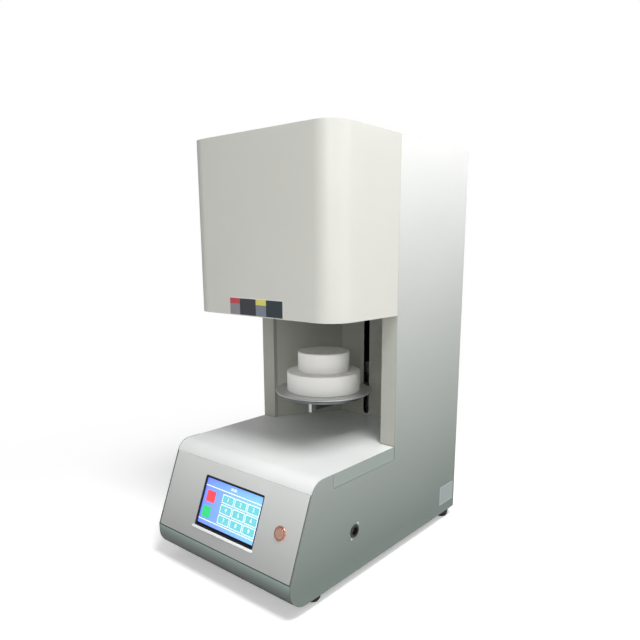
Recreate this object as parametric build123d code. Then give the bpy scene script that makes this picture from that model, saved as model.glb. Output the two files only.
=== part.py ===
"""Dental sintering furnace with a hearth that lifts into the chamber from below.

Every piece is drawn about the chamber's vertical axis: x to the right of somebody who faces the
furnace, y to the rear, z up from the table. save() then moves it back by the footprint's offset,
so that the origin is the middle of the footprint, on the table. Millimetres.
"""
from build123d import *
from math import atan2, cos, degrees, pi, radians, sin, sqrt, tan
import os

# Casing
width = 350.0
tower_depth = 243.5
hood_reach = 177.3
console_reach = 285.3
foot_height = 20.0
deck_height = 223.2
hood_bottom = 470.4
top_height = 778.3
hood_corner = 42.7
nose_radius = 30.0
lip_radius = 35.0
panel_foot = 68.6
panel_tilt = 21.07
sheet = 1.5
seam = 0.6
flange = 12.0
side_reveal = 2.0

# Console pieces
panel_thickness = 2.5
lip_thickness = 2.0
deck_skirt = 23.0
deck_skirt_front = 179.6
deck_skirt_back = 1.8
foot_diameter = 30.0
foot_inset_front = 25.0
foot_inset_rear = 19.5
front_foot_back = 78.3
rear_foot_back = 19.5
base_wall = 30.0

# Screen and button, measured on the sloped panel from its lower edge
screen_width = 154.0
screen_height = 92.5
screen_low = 27.0
screen_corner = 3.0
screen_depth = 4.0
bezel_rim = 2.5
module_depth = 28.0
module_margin = 7.0
button_across = 128.7
button_up = 70.8
button_bezel = 25.0
button_bore = 19.0
button_cap_diameter = 17.0
button_travel = 2.0

# Side socket on the right panel
socket_back = -121.8
socket_up = 99.9
socket_diameter = 23.6
socket_bore = 16.0
socket_screw_across = 19.0
socket_screw_up = 24.0
socket_screw_diameter = 5.6

# Loading space between deck and hood
post_width = 33.0
jamb_depth = 10.0
back_wall_back = 144.2
back_wall_width = 138.0
slot_width = 15.4
slot_low = 226.3
deck_gap = 1.5
liner_low = 190.0

# Hearth
tray_radius = 96.6
tray_thickness = 3.0
tray_top = 309.2
tray_bead = 1.5
lower_disc_radius = 74.0
lower_disc_height = 39.5
upper_disc_radius = 51.8
upper_disc_height = 39.7
disc_softening = 2.5
support_radius = 80.0
support_thickness = 4.0
spring_gap = 5.2
stud_circle = 41.0
stud_diameter = 8.0
stud_low = 269.0
arm_width = 12.0
arm_height = 25.0

# Chamber
chamber_plate_thickness = 3.0
mouth_radius = 77.0
mouth_ring_outer = 98.0
mouth_ring_thickness = 2.0
close_gap = 0.4
bore_radius = 76.0
chamber_radius = 80.0
insulation_radius = 136.0
casing_sheet = 1.2
chamber_height = 135.0
roof_thickness = 50.0
rabbet = 6.0
element_circle = 64.0
element_count = 4
element_spacing = 25.0
element_hot = 4.5
element_cold = 9.0
element_drop = 112.0
element_head = 35.0
holder_height = 12.0
clamp_size = 16.0
clamp_height = 12.0
clamp_lift = 16.0
strap_thickness = 2.0
probe_circle = 60.0
probe_diameter = 6.0
probe_drop = 45.0

# Lift
mast_thickness = 4.0
mast_width = 124.0
mast_top = 520.0
travel_down = 35.0
rod_diameter = 12.0
rod_across = 40.0
rod_back = 186.0
screw_diameter = 12.0
screw_journal = 8.0
block_height = 18.0
block_width = 116.0
block_depth = 54.0
lower_block_low = 200.0
carriage_width = 104.0
carriage_depth = 34.0
carriage_height = 44.0
bushing_diameter = 21.0
nut_diameter = 26.0
nut_flange = 36.0
running_fit = 0.05
motor_size = 57.0
motor_height = 76.0
motor_shaft = 6.35
bracket_thickness = 5.0
coupler_diameter = 25.0
coupler_height = 24.0

# Rear
fan_size = 120.0
fan_depth = 25.0
fan_height = 640.0
fan_bore = 57.0
fan_hub = 20.0
fan_blades = 7
fan_tip_gap = 1.5
guard_wire = 1.6
guard_stand = 2.4
screw_head = 6.5
inlet_across = -95.0
inlet_up = 70.0
switch_across = -40.0
louvre_width = 60.0
louvre_height = 4.0
louvre_pitch = 12.0
louvre_rows = 9

# Places worked out from the sizes above
half = width / 2
inner_half = half - sheet
rear_inner = tower_depth - sheet
guard_reach = guard_stand + guard_wire
axis_shift = (console_reach - tower_depth - guard_reach) / 2
base_top = foot_height + sheet
deck_under = deck_height - sheet
skirt_low = deck_height - deck_skirt - sheet
slope_rise = deck_height - panel_foot
slope_run = slope_rise * tan(radians(panel_tilt))
slope_length = slope_rise / cos(radians(panel_tilt))
nose_tangent = nose_radius * tan(radians(90 - panel_tilt) / 2)
panel_length = slope_length - nose_tangent - seam
post_inner = half - post_width
plate_under = hood_bottom + sheet
plate_top = plate_under + chamber_plate_thickness
ring_under = plate_under - mouth_ring_thickness
tray_under = tray_top - tray_thickness
support_top = tray_under - spring_gap
support_under = support_top - support_thickness
arm_low = support_under - arm_height
travel_up = ring_under - close_gap - tray_top
lower_disc_top = tray_top + lower_disc_height
floor_top = lower_disc_top + travel_up
chamber_top = floor_top + chamber_height
roof_top = chamber_top + roof_thickness
liner_back = back_wall_back + sheet
mast_back = liner_back + mast_thickness
carriage_low = arm_low + (arm_height - carriage_height) / 2
carriage_front = rod_back - carriage_depth / 2
lower_block_top = lower_block_low + block_height
upper_block_low = carriage_low + carriage_height + travel_up + 12.0
upper_block_top = upper_block_low + block_height
motor_top = lower_block_low - coupler_height - bracket_thickness - 4.0
coupler_low = motor_top + bracket_thickness + 2.0
fan_front = rear_inner - fan_depth


def panel_plane(inward=0.0):
    """The sloped panel's face: x across, y up the slope from its lower edge, z outwards."""
    lean = radians(panel_tilt)
    outward = Vector(0, -cos(lean), sin(lean))
    origin = Vector(0, -console_reach, panel_foot) - outward * inward
    return Plane(origin=origin, x_dir=(1, 0, 0), z_dir=outward)


def block(x0, x1, y0, y1, z0, z1):
    """A box between two corners."""
    return Pos((x0 + x1) / 2, (y0 + y1) / 2, (z0 + z1) / 2) * Box(x1 - x0, y1 - y0, z1 - z0)


def post(x, y, z0, z1, radius):
    """An upright round bar."""
    return Pos(x, y, (z0 + z1) / 2) * Cylinder(radius, z1 - z0)


def tube(x, y, z0, z1, outer, inner):
    """An upright round tube."""
    return post(x, y, z0, z1, outer) - post(x, y, z0 - 1, z1 + 1, inner)


def turned(points):
    """A piece turned about the chamber's axis from its half outline of (radius, height)."""
    outline = make_face(Polyline(*[(r, 0, z) for r, z in points], close=True))
    return revolve(outline, axis=Axis.Z)


def group(pieces):
    """Like pieces that share one node, each still a solid of its own."""
    return Compound([solid for piece in pieces for solid in piece.solids()])


def upright(outline, z0, z1):
    """A plan outline raised between two heights."""
    return extrude(Plane.XY.offset(z0) * outline, amount=z1 - z0)


def console_face(inset=0.0):
    """The console's side view with its curved nose and rounded lip, in (y, z)."""
    outline = make_face(Polyline(
        (0, foot_height),
        (0, deck_height),
        (-console_reach + slope_run, deck_height),
        (-console_reach, panel_foot),
        (-console_reach, foot_height),
        close=True,
    ))
    corners = outline.vertices()
    nose = corners.sort_by(lambda v: abs(v.X + console_reach - slope_run) + abs(v.Y - deck_height))[0]
    outline = fillet(nose, nose_radius)
    corners = outline.vertices()
    toe = corners.sort_by(lambda v: abs(v.X + console_reach) + abs(v.Y - foot_height))[0]
    outline = fillet(toe, lip_radius)
    if inset:
        outline = offset(outline, -inset, kind=Kind.INTERSECTION)
    return outline


def side_on(outline, x0, x1):
    """A (y, z) outline carried across from x0 to x1."""
    return extrude(Plane.YZ.offset(x0) * outline, amount=x1 - x0)


def console_skin(thickness, reach):
    """The console's outline as a folded sheet, reaching to both sides."""
    solid = side_on(console_face(), -reach, reach)
    hollow = side_on(console_face(thickness), -reach, reach)
    return solid - hollow


def hood_plan(inset=0.0, back=0.0):
    """The hood seen from above: straight sides and two round front corners."""
    reach = half - inset
    front = hood_reach - inset
    outline = make_face(Polyline(
        (-reach, back), (-reach, -front), (reach, -front), (reach, back), close=True))
    corners = outline.vertices().filter_by(lambda v: v.Y < 0 and v.Y < back - 1)
    return fillet(corners, hood_corner - inset)


def alcove_plan(grow=0.0, front=-20.0):
    """The loading space behind the posts, seen from above."""
    outline = make_face(Polyline(
        (-post_inner, front), (-post_inner, jamb_depth),
        (-back_wall_width / 2, back_wall_back), (back_wall_width / 2, back_wall_back),
        (post_inner, jamb_depth), (post_inner, front), close=True))
    if grow:
        outline = offset(outline, grow, kind=Kind.INTERSECTION)
    return outline


def slot_face(slot, low, high):
    """An upright slot with round ends, in (x, z)."""
    return Pos(0, (low + high) / 2) * SlotOverall(high - low, slot, rotation=90)


def cut_through(outline, y0, y1):
    """An (x, z) outline carried from y0 back to y1."""
    return extrude(Plane.XZ.offset(-y1) * outline, amount=y1 - y0)


def base_pan():
    """Floor tray with upturned edges and air slots under the electronics."""
    front = -(console_reach - lip_radius)
    pan = block(-inner_half, inner_half, front, rear_inner, foot_height, base_top)
    wall_top = foot_height + base_wall
    for x0 in (-inner_half, inner_half - sheet):
        pan += block(x0, x0 + sheet, front, rear_inner, foot_height, wall_top)
    for y0 in (front, rear_inner - sheet):
        pan += block(-inner_half, inner_half, y0, y0 + sheet, foot_height, wall_top)
    slot = upright(SlotOverall(60, 5), foot_height - 1, base_top + 1)
    for x in (-90, 0, 90):
        for row in range(5):
            pan -= Pos(x, -150 + 14 * row, 0) * slot
    return pan


def pair_of_feet(inset, y):
    """Two rubber feet with a tapered side and a screw well underneath."""
    radius = foot_diameter / 2
    outline = [(3, foot_height), (radius, foot_height), (radius, 12), (radius - 1, 4),
               (radius - 3.5, 0), (6, 0), (6, 8), (3, 8)]
    return group([Pos(x, y, 0) * turned(outline) for x in (inset - half, half - inset)])


def side_panel(side):
    """Side sheet of console and tower, with its notch for the deck and inward folds."""
    outer = inner_half
    plate = side_on(console_face(), outer, half)
    plate += block(outer, half, 0, tower_depth, foot_height, top_height)
    notch_front = -(deck_skirt_front + seam)
    plate -= block(outer - 1, half + 1, notch_front, 0, skirt_low - seam, deck_height + 1)

    ledge = block(outer - sheet, outer, -deck_skirt_front, -seam, liner_low, deck_under)
    ledge += block(outer - flange, outer, -deck_skirt_front, -seam, deck_under - sheet, deck_under)
    plate += ledge

    fold = panel_plane(panel_thickness) * Pos(inner_half - flange / 2, panel_length / 2, -sheet / 2)
    plate += fold * Box(flange, panel_length, sheet)

    rear_fold = rear_inner - sheet
    top_fold = top_height - sheet
    fold_end = top_fold - sheet - seam
    plate += block(outer - flange, outer, rear_fold, rear_inner, base_top + base_wall, fold_end)
    plate += block(outer - flange, outer, 2, rear_fold - seam, top_fold - sheet, top_fold)

    if side > 0:
        hole = post(0, 0, -flange, flange, socket_diameter / 2 + 0.2)
        plate -= Pos(half, socket_back, socket_up) * Rot(0, 90, 0) * hole
        return plate
    return mirror(plate, about=Plane.YZ)


def deck_cover():
    """Deck sheet: curved nose between the sides, flat top, side skirts and the alcove's floor."""
    reach = half - side_reveal
    above_panel = panel_plane() * Pos(0, panel_length + seam + 150, 0) * Box(width, 300, 400)
    deck = console_skin(sheet, reach) & above_panel
    deck -= block(-half, half, -deck_skirt_back, 10, 0, top_height)

    flat = block(-half, half, -deck_skirt_front, -deck_skirt_back, skirt_low, deck_height)
    flat = fillet(flat.edges().filter_by(Axis.Y).group_by(Axis.Z)[-1], sheet)
    flat -= block(-inner_half, inner_half, -width, 10, 0, deck_under)
    deck += flat
    deck += upright(alcove_plan(-deck_gap, -deck_skirt_back - 5), deck_under, deck_height)
    return deck


def front_panel():
    """Sloped fascia with the screen window and the push button's hole."""
    reach = half - side_reveal
    face = panel_plane() * Pos(0, panel_length / 2, -panel_thickness / 2)
    panel = face * Box(2 * reach, panel_length, panel_thickness)
    window = Pos(0, screen_low + screen_height / 2) * RectangleRounded(
        screen_width, screen_height, screen_corner)
    hole = Pos(button_across, button_up) * Circle(button_bore / 2 + 0.1)
    for cutter in (window, hole):
        panel -= extrude(panel_plane(-1) * cutter, amount=-(panel_thickness + 2))
    return panel


def front_lip():
    """Rounded lower bumper with a fold behind the fascia and one under the base pan."""
    reach = half - side_reveal
    below_panel = panel_plane() * Pos(0, -seam - 100, 0) * Box(width, 200, 400)
    lip = console_skin(lip_thickness, reach) & below_panel
    pan_front = -(console_reach - lip_radius)
    lip &= block(-half, half, -console_reach, pan_front - 0.2, 0, panel_foot)
    top = panel_foot - seam - 1.0
    lip += block(-reach, reach, -console_reach + 1, -console_reach + flange, top - lip_thickness, top)
    return lip


def screen_bezel():
    """Frame that lines the window and holds the glass below the fascia."""
    window = Pos(0, screen_low + screen_height / 2) * RectangleRounded(
        screen_width - 0.2, screen_height - 0.2, screen_corner)
    opening = Pos(0, screen_low + screen_height / 2) * RectangleRounded(
        screen_width - 2 * bezel_rim, screen_height - 2 * bezel_rim, screen_corner - 1)
    skirt = Pos(0, screen_low + screen_height / 2) * RectangleRounded(
        screen_width + 2 * module_margin, screen_height + 2 * module_margin, screen_corner)
    frame = extrude(panel_plane(0.3) * window, amount=-(screen_depth - 0.3))
    frame += extrude(panel_plane(panel_thickness) * skirt, amount=-(screen_depth - panel_thickness))
    frame -= extrude(panel_plane(-1) * opening, amount=-(screen_depth + 2))
    return frame


def screen_glass():
    """Touch glass just behind the bezel's opening."""
    glass = Pos(0, screen_low + screen_height / 2) * RectangleRounded(
        screen_width + module_margin, screen_height + module_margin, screen_corner)
    return extrude(panel_plane(screen_depth) * glass, amount=-1.8)


def screen_module():
    """Case of the display unit, with cooling slots in its back."""
    body = Pos(0, screen_low + screen_height / 2) * RectangleRounded(
        screen_width + 2 * module_margin, screen_height + 2 * module_margin, screen_corner)
    depth = screen_depth + 1.8
    case = extrude(panel_plane(depth) * body, amount=-module_depth)
    slot = panel_plane(depth + module_depth) * Pos(0, screen_low + screen_height / 2, 0)
    for row in range(-3, 4):
        case -= slot * Pos(0, 9 * row, 0) * Box(70, 3, 6)
    return case


def button_housing():
    """Metal push button body: bezel, barrel through the fascia and its nut behind."""
    place = panel_plane() * Pos(button_across, button_up, 0)
    barrel = Pos(0, 0, -14) * Cylinder(button_bore / 2, 28)
    bezel = Pos(0, 0, 1) * Cylinder(button_bezel / 2, 2)
    bezel = chamfer(bezel.edges().group_by(Axis.Z)[-1], 0.9)
    nut = extrude(RegularPolygon(13.5, 6), amount=-3)
    nut = Pos(0, 0, -panel_thickness) * nut
    body = barrel + bezel + nut
    well = button_cap_diameter / 2 + running_fit
    body -= Pos(0, 0, 0) * Cylinder(well, 12)
    return place * body


def button_cap():
    """Round cap that is pushed in along the fascia's normal."""
    place = panel_plane() * Pos(button_across, button_up, 0)
    cap = Pos(0, 0, 0.2) * Cylinder(button_cap_diameter / 2, 5.0)
    cap = fillet(cap.edges().group_by(Axis.Z)[-1], 0.6)
    return place * cap


def side_socket():
    """Round panel socket on a rear flange, open in the middle."""
    place = Pos(half, socket_back, socket_up) * Rot(0, 90, 0)
    body = Pos(0, 0, -4) * Cylinder(socket_diameter / 2, 10.4)
    body = fillet(body.edges().group_by(Axis.Z)[-1], 0.8)
    body += Pos(0, 0, -sheet - 1.5) * Box(31, 26, 3)
    body += Pos(0, 0, -12) * Cylinder(11, 18)
    body -= Pos(0, 0, -2) * Cylinder(socket_bore / 2, 10)
    key = Pos(0, 0, -5) * Box(3, 9, 4)
    return place * (body + key)


def side_socket_screws():
    """Two domed screws that hold the socket's flange behind the panel."""
    screws = []
    for sign in (1, -1):
        y = socket_back + sign * socket_screw_across / 2
        z = socket_up + sign * socket_screw_up / 2
        head = Pos(half, y, z) * Rot(0, 90, 0) * domed_head(socket_screw_diameter / 2, 1.6)
        screws.append(head)
    return group(screws)


def domed_head(radius, height):
    """Low domed screw head standing on its own plane."""
    head = Pos(0, 0, height / 2) * Cylinder(radius, height)
    return fillet(head.edges().group_by(Axis.Z)[-1], 0.8 * height)


def alcove_liner():
    """One folded sheet: posts, jambs, slanted walls and the slotted back wall."""
    plan = alcove_plan(sheet) - alcove_plan()
    walls = upright(plan, liner_low, plate_under)
    walls -= block(-half, half, -60, 0, 0, top_height)
    for sign in (-1, 1):
        x0, x1 = sorted((sign * post_inner, sign * inner_half))
        walls += block(x0, x1, 0, sheet, liner_low, plate_under)
        x0, x1 = sorted((sign * (inner_half - sheet), sign * inner_half))
        walls += block(x0, x1, 0, 15, liner_low, plate_under)
    slot_high = plate_under - 2.5
    return walls - cut_through(slot_face(slot_width, slot_low, slot_high), back_wall_back - 2, liner_back + 1)


def mast_plate():
    """Thick upright plate behind the alcove that carries the lift."""
    reach = mast_width / 2
    mast = block(-reach, reach, liner_back, mast_back, base_top, mast_top)
    mast += block(-reach, reach, liner_back, mast_back + 26, base_top, base_top + mast_thickness)
    opening = slot_face(slot_width + 4.6, slot_low - 4, plate_under - 1)
    return mast - cut_through(opening, liner_back - 1, mast_back + 1)


def chamber_plate():
    """Steel plate on the hood's lower lip that carries the chamber, with its round mouth."""
    clear = 0.3
    plan = hood_plan(sheet + clear, -seam)
    plate = upright(plan, plate_under, plate_top)
    reach = inner_half
    plate += block(-reach, reach, -seam, liner_back, plate_under, plate_top)
    for x0 in (-reach, reach - sheet):
        plate += block(x0, x0 + sheet, 4, liner_back, plate_under, plate_top + flange)
    return plate - post(0, 0, plate_under - 1, plate_top + 1, mouth_radius)


def mouth_ring():
    """Steel ring round the mouth that the tray closes against."""
    ring = tube(0, 0, ring_under, plate_under, mouth_ring_outer, mouth_radius)
    return chamfer(ring.edges().group_by(Axis.Z)[0].sort_by(SortBy.LENGTH)[-1], 0.8)


def hood_shell():
    """Bent front cover with two lips: the lower one carries the plate, the upper one the lid."""
    lip_reach = 14.0
    top_lip = top_height - 2 * sheet
    shell = upright(hood_plan(0, -seam) - hood_plan(sheet, -seam), hood_bottom, top_height)
    rim = hood_plan(0, -seam) - hood_plan(lip_reach, -seam)
    shell += upright(rim, hood_bottom, plate_under)
    shell += upright(rim, top_lip, top_lip + sheet)
    return shell


def vent_rows(count, pitch, length, slot, z0, z1):
    """Rows of upright air slots about the origin, as cutters."""
    cutter = upright(SlotOverall(length, slot), z0, z1)
    return [Pos(0, pitch * (row - (count - 1) / 2), 0) * cutter for row in range(count)]


def top_cover():
    """Lid that drops between the hood and the side panels, with air slots over the chamber."""
    clear = 0.3
    plan = hood_plan(sheet + clear, 0)
    reach = inner_half - clear
    lid = upright(plan, top_height - sheet, top_height)
    lid += block(-reach, reach, -1, tower_depth, top_height - sheet, top_height)
    for x in (-70, 70):
        for cutter in vent_rows(8, 16, 90, 5, top_height - sheet - 1, top_height + 1):
            lid -= Pos(x, 0, 0) * cutter
    return lid


def rear_panel():
    """Back sheet with pressed louvres, the fan's round grille and cut-outs for the power inlet."""
    clear = 0.3
    reach = inner_half - clear
    panel = block(-reach, reach, rear_inner, tower_depth, foot_height, top_height - sheet - clear)
    fan_hole = Pos(0, fan_height) * Circle(fan_bore)
    panel -= cut_through(fan_hole, rear_inner - 1, tower_depth + 1)
    inlet = Pos(inlet_across, inlet_up) * Rectangle(32, 25)
    switch = Pos(switch_across, inlet_up) * Rectangle(22, 28)
    for outline in (inlet, switch):
        panel -= cut_through(outline, rear_inner - 1, tower_depth + 1)
    for side in (-1, 1):
        for row in range(louvre_rows):
            z = 330 + louvre_pitch * row
            panel = add_louvre(panel, 60 * side, z)
    return panel


def add_louvre(panel, x, z):
    """Cut one air slot and raise its pressed hood over it."""
    rise = 3.0
    hole = Pos(x, z) * Rectangle(louvre_width - 2, louvre_height)
    panel -= cut_through(hole, rear_inner - 1, tower_depth + 1)
    lower = z - louvre_height / 2
    outline = make_face(Polyline(
        (tower_depth, lower + louvre_height + rise), (tower_depth + rise, lower),
        (tower_depth + rise - 0.8, lower), (tower_depth, lower + louvre_height + rise - 1.4), close=True))
    hood = side_on(outline, x - louvre_width / 2, x + louvre_width / 2)
    ends = make_face(Polyline(
        (tower_depth, lower + louvre_height + rise), (tower_depth + rise, lower), (tower_depth, lower),
        close=True))
    for x0 in (x - louvre_width / 2, x + louvre_width / 2 - 0.8):
        hood += side_on(ends, x0, x0 + 0.8)
    return panel + hood


def rear_panel_screws():
    """Domed screws down both edges of the rear panel."""
    screws = []
    for sign in (-1, 1):
        for row in range(5):
            z = 70 + 160 * row
            place = Pos(sign * (inner_half - flange / 2), tower_depth, z) * Rot(-90, 0, 0)
            screws.append(place * domed_head(screw_head / 2, 2.0))
    return group(screws)


def lower_hearth_disc():
    """Fibre plug that fills the mouth when the hearth is up."""
    disc = post(0, 0, tray_top, lower_disc_top, lower_disc_radius)
    return fillet(disc.edges(), disc_softening)


def upper_hearth_disc():
    """Smaller fibre disc that carries the work."""
    top = lower_disc_top + upper_disc_height
    disc = post(0, 0, lower_disc_top, top, upper_disc_radius)
    return fillet(disc.edges(), disc_softening)


def hearth_tray():
    """Round steel tray with a rolled bead at its rim."""
    tray = post(0, 0, tray_under, tray_top, tray_radius - tray_bead)
    bead = Pos(0, 0, tray_top - tray_bead) * Torus(tray_radius - tray_bead, tray_bead)
    return tray + bead


def stud_places():
    """Centres of the three levelling studs, one of them at the front."""
    return [(stud_circle * cos(radians(a)), stud_circle * sin(radians(a))) for a in (-90, 30, 150)]


def levelling_studs():
    """Studs welded under the tray, each with a long round nut below the support plate."""
    studs = []
    for x, y in stud_places():
        stud = post(x, y, stud_low + 2, tray_under, stud_diameter / 4)
        nut = post(x, y, stud_low, support_under, stud_diameter / 2)
        nut = chamfer(nut.edges().group_by(Axis.Z)[0], 0.8)
        studs.append(stud + nut)
    return group(studs)


def levelling_springs():
    """Short springs between the support plate and the tray, drawn as closed coils."""
    springs = []
    turns = 3
    wire = spring_gap / turns / 2
    for x, y in stud_places():
        outline = [(3.2, support_top), (4.4, support_top)]
        for turn in range(turns):
            low = support_top + 2 * wire * turn
            outline += [(5.2, low + wire), (4.4, low + 2 * wire)]
        outline.append((3.2, tray_under))
        springs.append(Pos(x, y, 0) * turned(outline))
    return group(springs)


def lift_arm():
    """Bar through the slot with the round support plate welded on its head."""
    arm = block(-arm_width / 2, arm_width / 2, -30, carriage_front, arm_low, support_under)
    arm += post(0, 0, support_under, support_top, support_radius)
    arm += block(-24, 24, carriage_front - 6, carriage_front, arm_low - 2, support_under + 2)
    for x, y in stud_places():
        arm -= post(x, y, support_under - 1, support_top + 1, stud_diameter / 4 + 0.3)
    return arm


def lift_carriage():
    """Aluminium block that runs on the two rods and holds the nut."""
    reach = carriage_width / 2
    back = rod_back + carriage_depth / 2
    body = block(-reach, reach, carriage_front, back, carriage_low, carriage_low + carriage_height)
    body = chamfer(body.edges().filter_by(Axis.Z), 2)
    for sign in (-1, 1):
        body -= post(sign * rod_across, rod_back, 0, top_height, bushing_diameter / 2)
    return body - post(0, rod_back, 0, top_height, nut_diameter / 2)


def carriage_bushings():
    """Plain linear bushings pressed into the carriage, running on the rods."""
    bushes = []
    for sign in (-1, 1):
        bushes.append(tube(sign * rod_across, rod_back, carriage_low, carriage_low + carriage_height,
                           bushing_diameter / 2, rod_diameter / 2 + running_fit))
    return group(bushes)


def lead_nut():
    """Flanged nut in the carriage, running on the screw."""
    nut = post(0, rod_back, carriage_low, carriage_low + carriage_height, nut_diameter / 2)
    nut += post(0, rod_back, carriage_low - 6, carriage_low, nut_flange / 2)
    return nut - post(0, rod_back, carriage_low - 7, carriage_low + carriage_height + 1,
                      screw_diameter / 2 + running_fit)


def bearing_block(low):
    """Cross block on the mast that holds both rods and one end of the screw."""
    reach = block_width / 2
    body = block(-reach, reach, mast_back, mast_back + block_depth, low, low + block_height)
    body = chamfer(body.edges().filter_by(Axis.Z).group_by(Axis.Y)[-1], 4)
    for sign in (-1, 1):
        body -= post(sign * rod_across, rod_back, low - 1, low + block_height + 1, rod_diameter / 2)
    return body - post(0, rod_back, low - 1, low + block_height + 1, screw_journal / 2 + running_fit)


def guide_rods():
    """Two hardened rods clamped in the bearing blocks."""
    rods = []
    for sign in (-1, 1):
        rods.append(post(sign * rod_across, rod_back, lower_block_low, upper_block_top, rod_diameter / 2))
    return group(rods)


def lead_screw():
    """Lead screw with a turned journal at each end, the lower one reaching into the coupler."""
    journal = screw_journal / 2
    screw = post(0, rod_back, lower_block_top + 0.5, upper_block_low - 0.5, screw_diameter / 2)
    screw = chamfer(screw.edges().filter_by(GeomType.CIRCLE), 0.8)
    screw += post(0, rod_back, coupler_low + coupler_height / 2 + 1, lower_block_top + 0.6, journal)
    return screw + post(0, rod_back, upper_block_low - 0.6, upper_block_top, journal)


def shaft_coupler():
    """Clamp coupler between the motor's shaft and the screw, with its relief cuts."""
    top = coupler_low + coupler_height
    middle = coupler_low + coupler_height / 2
    radius = coupler_diameter / 2
    body = post(0, rod_back, coupler_low, top, radius)
    body = chamfer(body.edges().filter_by(GeomType.CIRCLE), 0.8)
    body -= post(0, rod_back, coupler_low - 1, middle, motor_shaft / 2)
    body -= post(0, rod_back, middle, top + 1, screw_journal / 2)
    for step in (-2, 2):
        side = -radius if step > 0 else radius
        cut = block(min(0, side), max(0, side), rod_back - radius, rod_back + radius,
                    middle + step - 0.6, middle + step + 0.6)
        body -= cut
    return body


def motor_shaft_piece():
    """The motor's shaft, which turns the screw through the coupler."""
    return post(0, rod_back, motor_top - 30, coupler_low + coupler_height / 2 - 1, motor_shaft / 2)


def lift_motor():
    """Square stepper motor hung under its bracket."""
    reach = motor_size / 2
    body = block(-reach, reach, rod_back - reach, rod_back + reach, motor_top - motor_height, motor_top)
    body = chamfer(body.edges().filter_by(Axis.Z), 5)
    band = block(-reach - 1, reach + 1, rod_back - reach - 1, rod_back + reach + 1,
                 motor_top - motor_height + 12, motor_top - 12)
    core = block(-reach + 1.2, reach - 1.2, rod_back - reach + 1.2, rod_back + reach - 1.2,
                 motor_top - motor_height + 12, motor_top - 12)
    body -= band - core
    body += post(0, rod_back, motor_top, motor_top + 1.6, 19)
    return body - post(0, rod_back, motor_top - 31, motor_top + 3, motor_shaft / 2 + running_fit)


def motor_bracket():
    """Angle bracket on the mast that carries the motor by its face."""
    reach = motor_size / 2 + 4
    back = rod_back + motor_size / 2
    bracket = block(-reach, reach, mast_back, back, motor_top, motor_top + bracket_thickness)
    bracket += block(-reach, reach, mast_back, mast_back + bracket_thickness, motor_top - 60,
                     motor_top + bracket_thickness)
    hollow = motor_size + 1
    bracket -= block(-hollow / 2, hollow / 2, rod_back - hollow / 2, back, motor_top - 61, motor_top)
    return bracket - post(0, rod_back, motor_top - 1, motor_top + bracket_thickness + 1, 19.2)


def insulation_floor_ring():
    """Lower fibre ring round the mouth, stepped at its top to centre the wall."""
    step = (chamber_radius + insulation_radius) / 2
    return turned([
        (bore_radius, plate_top), (insulation_radius, plate_top), (insulation_radius, floor_top - rabbet),
        (step, floor_top - rabbet), (step, floor_top), (bore_radius, floor_top)])


def insulation_wall():
    """Fibre cylinder of the chamber, stepped at both ends."""
    step = (chamber_radius + insulation_radius) / 2
    return turned([
        (chamber_radius, floor_top), (step, floor_top), (step, floor_top - rabbet),
        (insulation_radius, floor_top - rabbet), (insulation_radius, chamber_top),
        (chamber_radius, chamber_top)])


def shank_places():
    """Upright centre lines of the elements' shanks, in pairs."""
    pairs = []
    for index in range(element_count):
        place = Rot(0, 0, 45 + 360 / element_count * index)
        ends = []
        for sign in (-1, 1):
            point = (place * Pos(element_circle, sign * element_spacing / 2, 0)).position
            ends.append((point.X, point.Y))
        pairs.append(ends)
    return pairs


def insulation_roof():
    """Fibre lid on the wall, drilled for the elements and the probe."""
    roof = turned([
        (0, chamber_top - rabbet), (chamber_radius - 0.5, chamber_top - rabbet),
        (chamber_radius - 0.5, chamber_top), (insulation_radius, chamber_top),
        (insulation_radius, roof_top), (0, roof_top)])
    for ends in shank_places():
        for x, y in ends:
            roof -= post(x, y, chamber_top - rabbet - 1, roof_top + 1, element_cold / 2 + 0.5)
    return roof - post(0, probe_circle, chamber_top - rabbet - 1, roof_top + 1, probe_diameter / 2 + 0.5)


def chamber_casing():
    """Thin sheet drum round the fibre."""
    return tube(0, 0, plate_top, roof_top, insulation_radius + casing_sheet, insulation_radius)


def heating_elements():
    """U-shaped elements that hang through the roof, thin in the chamber and thick above."""
    hot = element_hot / 2
    cold = element_cold / 2
    bend = element_spacing / 2
    neck = chamber_top - rabbet - 6
    bottom = chamber_top - element_drop
    top = roof_top + element_head
    cone = 8.0
    elements = []
    for index in range(element_count):
        loop = Pos(0, -bend, 0) * Circle(hot)
        bow = revolve(loop, axis=Axis.X, revolution_arc=180)
        element = bow
        for sign in (-1, 1):
            y = sign * bend
            element += post(0, y, 0, neck - cone - bottom, hot)
            element += Pos(0, y, neck - cone / 2 - bottom) * Cone(hot, cold, cone)
            element += post(0, y, neck - bottom, top - bottom, cold)
        place = Rot(0, 0, 45 + 360 / element_count * index) * Pos(element_circle, 0, bottom)
        elements.append(place * element)
    return group(elements)


def element_holders():
    """Ceramic blocks on the roof that each grip one element's two shanks."""
    holders = []
    for index in range(element_count):
        holder = Pos(0, 0, holder_height / 2) * Box(20, element_spacing + 21, holder_height)
        holder = fillet(holder.edges().filter_by(Axis.Z), 4)
        for sign in (-1, 1):
            holder -= post(0, sign * element_spacing / 2, -1, holder_height + 1, element_cold / 2 + 0.1)
        holders.append(Rot(0, 0, 45 + 360 / element_count * index) * Pos(element_circle, 0, roof_top) * holder)
    return group(holders)


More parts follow.
